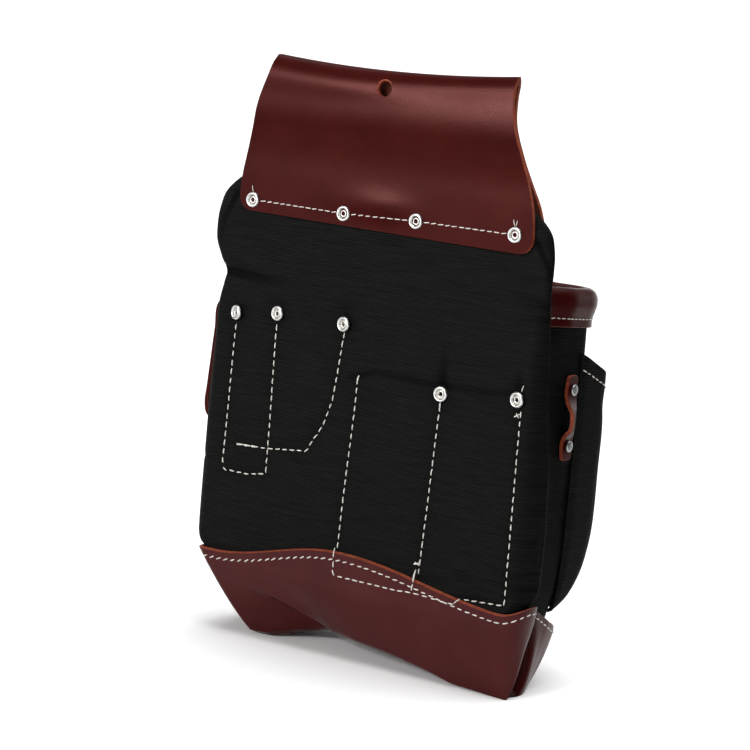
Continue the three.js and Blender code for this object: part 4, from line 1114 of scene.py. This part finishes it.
def boot_ring(fine=7):
    """The boot's outline at its top and at its sole, all the way round, as cubics through its stations."""
    t = np.linspace(0, 1, 13)
    near_x = mix(SOLE_END[-1], SOLE_END[1], t)
    top = joined(-BOOT_FLAT[-1] + (BOOT_FLAT[-1] + BOOT_FLAT[1]) * t, BOOT_FACE)
    foot = joined(near_x, mix(SOLE_NEAR[-1], SOLE_NEAR[1], t) + DENT_IN * bell(near_x - DENT_X, DENT_WIDTH))
    lift = HEEL_LIFT * np.sin(pi * t) + LEFT_LIFT * bell(near_x - SOLE_END[-1], LEFT_LIFT_WIDTH)
    near = (top, foot, np.ones(13), lift, np.zeros(13))
    around = stations(5, 4, 8)
    behind = joined(*pouch_plan(around, BOOT_PLAN_AT, BOOT_SEAT + LEATHER))
    behind = behind[behind[:, 1] > BOOT_SEAM_Y][::-1]
    back = (behind, sole_behind(behind), *np.zeros((3, len(behind))))
    left = tuple(a[::-1] for a in boot_end(-1))
    table = np.column_stack([np.concatenate(parts) for parts in zip(near, boot_end(1), back, left)])
    wrapped = np.concatenate([table[-3:], table, table[:3]])
    knots = chord_knots(wrapped[:, :4])
    starts, ends = knots[3:-3], knots[4:-2]
    at = (starts[:, None] + (ends - starts)[:, None] * np.arange(fine) / fine).ravel()
    ring = curve(knots, wrapped)(at)
    ring[:, 4] = np.interp(at, knots, wrapped[:, 4])
    return ring


def inset(outline, distance):
    """A closed outline moved inwards across its own direction."""
    along = ring_way(outline)
    return outline + distance * joined(-along[:, 1], along[:, 0])


def sole_arch(x):
    """Height of the sole's edge: two slightly bowed ramps up to the arch's middle."""
    reach = np.where(x < ARCH_X, ARCH_LEFT, ARCH_RIGHT)
    along = np.clip((x - ARCH_X) / (reach - ARCH_X), 0, 1)
    return ARCH * (1 - along) * (1 + ARCH_BOW * along)


def boot_wall(ring, thickness, rows=22, band_rows=7):
    """Each column goes straight down from the top edge to the band's foot, then along a cubic Bezier to the
    sole's edge, a little way in under it, and up into the hollow of the sole."""
    top, foot = inset(ring[:, :2], thickness), inset(ring[:, 2:4], thickness)
    held, heel, pinch = ring[:, 4], ring[:, 5], ring[:, 6]
    edge = boot_edge(top[:, 0], top[:, 1])
    band_z = held * (PANEL_BOTTOM - BOOT_CLEAR) + (1 - held) * (edge - BOOT_TUCK - BOOT_CLEAR)
    band_x = top[:, 0] + held * (foot[:, 0] - top[:, 0]) * (1 - band_z / edge)
    band = joined(band_x, top[:, 1], band_z)
    peak = joined(top[:, 0], top[:, 1], edge - (BOOT_SKIVE if thickness == 0 else 0))
    floor = sole_arch(foot[:, 0]) + thickness
    end = joined(foot[:, 0], foot[:, 1], floor + heel)
    controls = []
    for behind, ahead, down in BOOT_BEND:
        control = mix(band, end, mix(behind, ahead, held)[:, None])
        control[:, 2] = mix(band[:, 2], end[:, 2], down)
        controls.append(control)
    t = np.linspace(0, 1, rows)[1:, None, None]
    slope = ((1 - t) ** 3 * band + 3 * t * (1 - t) ** 2 * controls[0] + 3 * t * t * (1 - t) * controls[1]
             + t ** 3 * end)
    slope[..., 0] -= PINCH_FULL * (t * t * (1 - t))[..., 0] * pinch
    w = np.linspace(0, 1, band_rows)[:, None, None]
    middle_x = np.clip(foot[:, 0], SOLE_END[-1] + SOLE_ENDS, SOLE_END[1] - SOLE_ENDS)
    middle = joined(middle_x, SOLE_MIDDLE, 0.0)
    tread, hollow = mix(end, middle, FOOT_SHARE), mix(end, middle, HOLLOW_SHARE)
    tread[:, 2], hollow[:, 2] = floor, SOLE_RISE + thickness
    return np.concatenate([mix(peak, band, w), slope, tread[None], hollow[None]])


def boot_hollow(points):
    """The fold at the near left: from the left edge the face falls in evenly towards a slanting crease,
    deeper towards the floor, and comes back out sharply across it."""
    x, y, z = points[..., 0], points[..., 1], points[..., 2]
    crease = np.interp(z, *HOLLOW_CREASE)
    edge = np.interp(z, (0, HOLLOW_EDGE_TOP), (SOLE_END[-1], -BOOT_FLANK[-1]))
    left = crease - x
    fall = np.clip(1 - left / np.maximum(crease - edge, 1), 0, 1) * smoothstep(left, *HOLLOW_STEP)
    reach = (1 - smoothstep(z, *HOLLOW_Z)) * (1 - smoothstep(y, *HOLLOW_Y))
    return HOLLOW_DEPTH * fall * reach


def boot():
    """Leather boot: an outer and an inner wall joined by a skived raw edge, closed by the sole."""
    ring = boot_ring()
    walls = np.stack([boot_wall(ring, 0.0), boot_wall(ring, LEATHER)])
    walls[..., 1] += boot_hollow(walls)
    rows, columns = walls.shape[1:3]
    count = rows * columns
    points = walls.reshape(-1, 3)
    wall = grid_faces(rows, columns, around=True)
    j = np.arange(columns)
    k = (j + 1) % columns
    rim = joined(j, j + count, k + count, k)
    last = count - columns
    caps = [(last + j[::-1]).tolist(), (count + last + j).tolist()]
    faces = wall[:, ::-1].tolist() + (wall + count).tolist() + rim[:, ::-1].tolist() + caps
    looks = np.concatenate([np.zeros(len(wall)), np.ones(len(wall)), np.full(len(rim), 2), [0, 1]])
    made = piece("leather_boot", points, faces, BOOT_LOOKS, ["boot"], looks)
    # Painted shade in and beside the crease at the right end, darkening its colour and gloss.
    away = np.arange(columns) - np.argmax(ring[:, 6])
    tight, wide = bell(away, SHADE_TIGHT), bell(away, SHADE_WIDE)
    shade = np.where(away < 0, 0.9 * tight, 0.5 * wide + 0.4 * tight)
    mark_painted_shade(made, np.tile(shade, 2 * rows))
    ease_edges(made, *BOOT_EASE)
    return ring


def boot_row(ring, drop):
    """Line round the boot's band at a drop below its top edge, and the way it faces."""
    top, foot = ring[:, :2], ring[:, 2:4]
    edge = boot_edge(top[:, 0], top[:, 1])
    x = top[:, 0] + ring[:, 4] * (foot[:, 0] - top[:, 0]) * drop / edge
    path = joined(x, top[:, 1], edge - drop)
    along = ring_way(top)
    return path, joined(along[:, 1], -along[:, 0], 0.0)


# Side loops

def side_loop(side, sign, near, far, rivets, lean, profile):
    """Strap flat at its riveted ends and bowed between them: its profile carried across its width, fuller at
    one edge than at the other."""
    strip = evenly(smooth_path(profile, 400), step=1.5)
    s = chord_knots(strip)
    inside = np.maximum(0, LOOP_END_RADIUS - np.minimum(s, s[-1] - s))
    cut = LOOP_END_RADIUS - np.sqrt(LOOP_END_RADIUS ** 2 - inside ** 2)
    share = np.linspace(0, 1, 12)
    y = near + cut[:, None] + (far - near - 2 * cut[:, None]) * share
    out = strip[:, 1:] * mix(*lean, share)
    x = pouch_half(strip[:, :1]) + LOOP_SEAT + LEATHER / 2 + out
    # The left strap's cut edge takes the hide's own finish, darker than the raw edge: painted shade on that
    # edge.
    sheet(f"strap_{side}", joined(sign * x, y, strip[:, :1]), (0, 45, 160), HIDE_LOOKS, "leather",
          f"side_loop_{side}", STRAP, inside=1, rim=2 if sign > 0 else 0)
    for end, z in rivets.items():
        cap_rivet(f"cap_{side}_{end}", sign, sign * float(pouch_half(z)), (near + far) / 2, z,
                  [f"loop_rivet_{side}_{end}"])


# Stitches

def threads(name, centre, along, up, half, radius):
    """Threads that lie on a surface: one rounded, slightly arched shape set at each centre, its axis along
    its own way and its back along the surface's outward way."""
    count = len(centre)
    up = square_to(up, along)
    side = np.cross(along, up)
    a = np.array([-0.96, -0.7, -0.25, 0.25, 0.7, 0.96])
    angle = np.arange(6) * pi / 3
    girth = np.array([0.45, 0.85, 1.0, 1.0, 0.85, 0.45])
    ring_along = (a[:, None] + 0 * angle).ravel()
    ring_side = (girth[:, None] * np.cos(angle)).ravel()
    ring_up = (girth[:, None] * np.sin(angle) + 0.35 - 0.9 * a[:, None] ** 2).ravel()
    half, radius = np.reshape(half, (-1, 1, 1)), np.reshape(radius, (-1, 1, 1))
    shape = (ring_along[None, :, None] * half * along[:, None]
             + (ring_side[None, :, None] * side[:, None] + ring_up[None, :, None] * up[:, None]) * radius)
    points = (centre[:, None] + shape).reshape(-1, 3)
    starts = (np.arange(count) * 36)[:, None, None]
    faces = (grid_faces(6, 6, around=True)[None] + starts).reshape(-1, 4).tolist()
    ends = np.stack([np.arange(6)[::-1], np.arange(30, 36)])
    faces += (ends[None] + starts).reshape(-1, 6).tolist()
    piece(name, points, faces, (THREAD,))


def stitch_row(name, path, out, pitch=STITCH_PITCH, length=STITCH, radius=STITCH_RADIUS, tilt=(0.0, 0.0)):
    """Stitches at even lengths along a line on a surface, each turned on it by a tilt that goes evenly from
    the line's start to its end, with a little unevenness."""
    knots = chord_knots(path)
    count = max(1, int(knots[-1] / pitch))
    rng = np.random.default_rng(len(name) * 101 + count)
    middle = (np.arange(count) + 0.5) * knots[-1] / count + rng.normal(0, 0.14, count)
    ends = (read_along(middle + way * length / 2, knots, path) for way in (1, -1))
    along = unit(np.subtract(*ends))
    up = square_to(read_along(middle, knots, np.broadcast_to(out, path.shape)), along)
    turn = (np.linspace(*tilt, count) + rng.normal(0, 0.05, count))[:, None]
    along = along * np.cos(turn) + np.cross(along, up) * np.sin(turn)
    half = length / 2 * (1 + rng.normal(0, 0.06, count))
    threads(name, read_along(middle, knots, path), along, up, half, radius)


def odd_threads(face, near):
    """Back stitches, crossings and loose ends on one of the faces."""
    table = np.array([(*start, *end, radius) for start, end, radius in ODD_THREADS[face]])
    ends = table[:, :6].reshape(-1, 2, 3)
    flat = ends[:, :, [0, 2]].reshape(-1, 2)
    if face == "panel":
        depth = on_panel(near, flat)[:, 1]
    else:
        depth = np.full(len(flat), BOOT_FACE if face == "boot" else TUNNEL_FACE)
    placed = joined(ends[..., 0], depth.reshape(-1, 2) - ends[..., 1], ends[..., 2])
    span = placed[:, 1] - placed[:, 0]
    half = np.linalg.norm(span, axis=1) / 2
    out = np.broadcast_to(OUTWARD, span.shape)
    threads(f"odd_threads_{face}", placed.mean(1), unit(span), out, half, table[:, 6])


def boot_rows(ring):
    """Row under the boot's top edge, in a left and a right part that meet near its peak."""
    path, out = (np.roll(a, BOOT_ROW_START, axis=0) for a in boot_row(ring, BOOT_ROW_DROP))
    off, reach = BOOT_ROW_BREAK
    ahead = np.argmax((np.abs(path[:, 0] - BOOT_PEAK_X - off) < reach) & (out[:, 1] <= -0.5))
    for side, part in dict(left=slice(0, ahead + 1), right=slice(ahead, None)).items():
        stitch_row(f"stitches_boot_{side}", path[part], out[part], **BOOT_ROW, tilt=BOOT_TILTS[side])


def hem_rows():
    """Row along the tunnel's hem, broken at its rivets, at the depth that the leaf has before it falls."""
    rivet_x, rivet_z = np.array(TUNNEL_RIVETS).T
    x = np.linspace(rivet_x[0] + RIVET_CLEAR, rivet_x[-1] - RIVET_CLEAR, 300)
    z = np.interp(x, rivet_x, rivet_z)
    share = np.linspace(*HEM_SHARES, len(x))
    unfallen = z + TUNNEL_FALL * share * (1 - smoothstep(z + 2, *TUNNEL_FALL_Z))
    y = np.interp(unfallen, FOLD_LINE[:200, 1], FOLD_LINE[:200, 0]) - LEATHER / 2 + tunnel_bulge(x, unfallen)
    line = joined(x, y, z)
    clear = np.min(np.abs(x[:, None] - rivet_x), axis=1) > RIVET_CLEAR
    for k, span in enumerate(np.split(np.arange(len(x)), np.flatnonzero(np.diff(clear.astype(int))) + 1)):
        if clear[span[0]]:
            stitch_row(f"stitches_tunnel_{k}", line[span], OUTWARD, **HEM_ROW)


def level_out(line):
    """Level way out from a line that goes round the pouch from left to right: its direction turned square."""
    turn = np.gradient(line[:, :2], axis=0)
    return joined(-turn[:, 1], turn[:, 0], 0)


def pouch_rows():
    """Rows under the lip and along the outer pocket's rim."""
    s = stations()
    x, y = pouch_plan(s, seam_height(s), LIP_PROFILE[0, 0] + LEATHER / 2, LIP_BACK)
    lip = joined(drawn_in(x, y), y, seam_height(s))
    stitch_row("stitches_lip", lip[2:-2], level_out(lip)[2:-2], **LIP_ROW)
    rim = pocket_point(s, RIM_ROW_UP)
    out = unit(level_out(rim))
    stitch_row("stitches_rim", (rim + out * NYLON / 2)[1:-1], out[1:-1])


def all_stitches(near, ring):
    """Every seam that shows: the panel's pockets, the boot's rows, the tunnel's hem, the lip and the rim."""
    for name, points in SEAMS.items():
        stitch_row(f"stitches_{name}", on_panel(near, straight_path(points)), OUTWARD)
    for name, points in BOOT_SEAMS.items():
        path = np.insert(straight_path(points), 1, BOOT_FACE, axis=1)
        stitch_row(f"stitches_{name}", path, OUTWARD, ROW_PITCH)
    boot_rows(ring)
    hem_rows()
    pouch_rows()
    for face in ODD_THREADS:
        odd_threads(face, near)


# Stage

def stage_piece(name, points, faces, look):
    """A mesh of the stage, in metres."""
    mesh = bpy.data.meshes.new(name)
    mesh.from_pydata(points, [], faces)
    mesh.materials.append(look)
    made = new_object(name, mesh)
    return made


def stage():
    """Pale floor that rises like a wide, shallow bowl, a broad soft light overhead, a softbox ahead, a second
    one at the left for the gloss alone, and dark cards that the camera doesn't see."""
    made, shader = material("pale_floor", 0.9, 0.1)
    shader.inputs["Base Color"].default_value = (0.95, 0.95, 0.95, 1.0)
    bowl = lathe(FLOOR, FLOOR_SIDES)
    faces = grid_faces(*bowl.shape[:2], around=True).tolist() + [list(range(FLOOR_SIDES))[::-1]]
    stage_piece("floor", bowl.reshape(-1, 3).tolist(), faces, made).data.shade_smooth()
    made, shader = material("dark_card", 0.9, 0.0)
    shader.inputs["Base Color"].default_value = (0.01, 0.01, 0.01, 1.0)
    for name, corners in DARK_CARDS.items():
        card = stage_piece(name, corners, [(0, 3, 2, 1)], made)
        card.visible_camera = card.visible_shadow = False
        card.visible_diffuse = name == "side_flag"
    for name, (kind, place, power) in LAMPS.items():
        lamp = bpy.data.lights.new(name, kind)
        lamp.energy = power
        if kind == "SUN":
            lamp.angle = radians(SUN_ANGLE)
        else:
            lamp.shape, lamp.size = "SQUARE", BOX_SIZE
        light = new_object(name, lamp)
        light.visible_diffuse = name != "gloss_box"
        back = unit(np.array(place) - np.array(LAMP_AIM))
        right = unit(np.cross((0, 0, 1), back))
        set_up(light, (right, np.cross(back, right), back), place)
    world = bpy.data.worlds.new("studio")
    world.use_nodes = True
    sky = world.node_tree.nodes["Background"].inputs
    sky["Color"].default_value = (1, 1, 1, 1)
    sky["Strength"].default_value = SKY
    bpy.context.scene.world = world
    bpy.context.scene.view_settings.view_transform = "Standard"


def camera():
    """The eye that sees the pouch as it stands, from its near right."""
    lens = bpy.data.cameras.new("camera")
    lens.lens = LENS
    lens.sensor_width = SENSOR
    lens.clip_end = 100
    eye = new_object("camera", lens)
    set_up(eye, (EYE_RIGHT, EYE_UP, EYE_BACK), [p * MM for p in EYE])
    bpy.context.scene.camera = eye


camera()
stage()
panel_face = back_panel()
belt_tunnel()
for number, (rivet_x, rivet_z) in enumerate(TUNNEL_RIVETS, 1):
    clinch_rivet(f"hem_rivet_{number}", rivet_x, rivet_z, TUNNEL_FACE, PANEL_THICK + GAP + LEATHER,
                 [f"tunnel_rivet_{number}"])
for number, ((rivet_x, rivet_z), turn) in enumerate(zip(PANEL_RIVETS, PANEL_RIVET_TURNS), 1):
    clinch_rivet(f"pocket_rivet_{number}", rivet_x, rivet_z, 0.0, PANEL_THICK + GAP + PLY,
                 [f"panel_rivet_{number}"], turn)
inner_pocket("slot_ply", "slot_pocket", **SLOT_POCKET)
inner_pocket("sleeve_ply", "sleeve_pocket", **SLEEVE_POCKET)
main_pouch()
pouch_lip()
outer_pocket()
boot_outline = boot()
side_loop("right", **RIGHT_LOOP)
side_loop("left", **LEFT_LOOP)
all_stitches(panel_face, boot_outline)
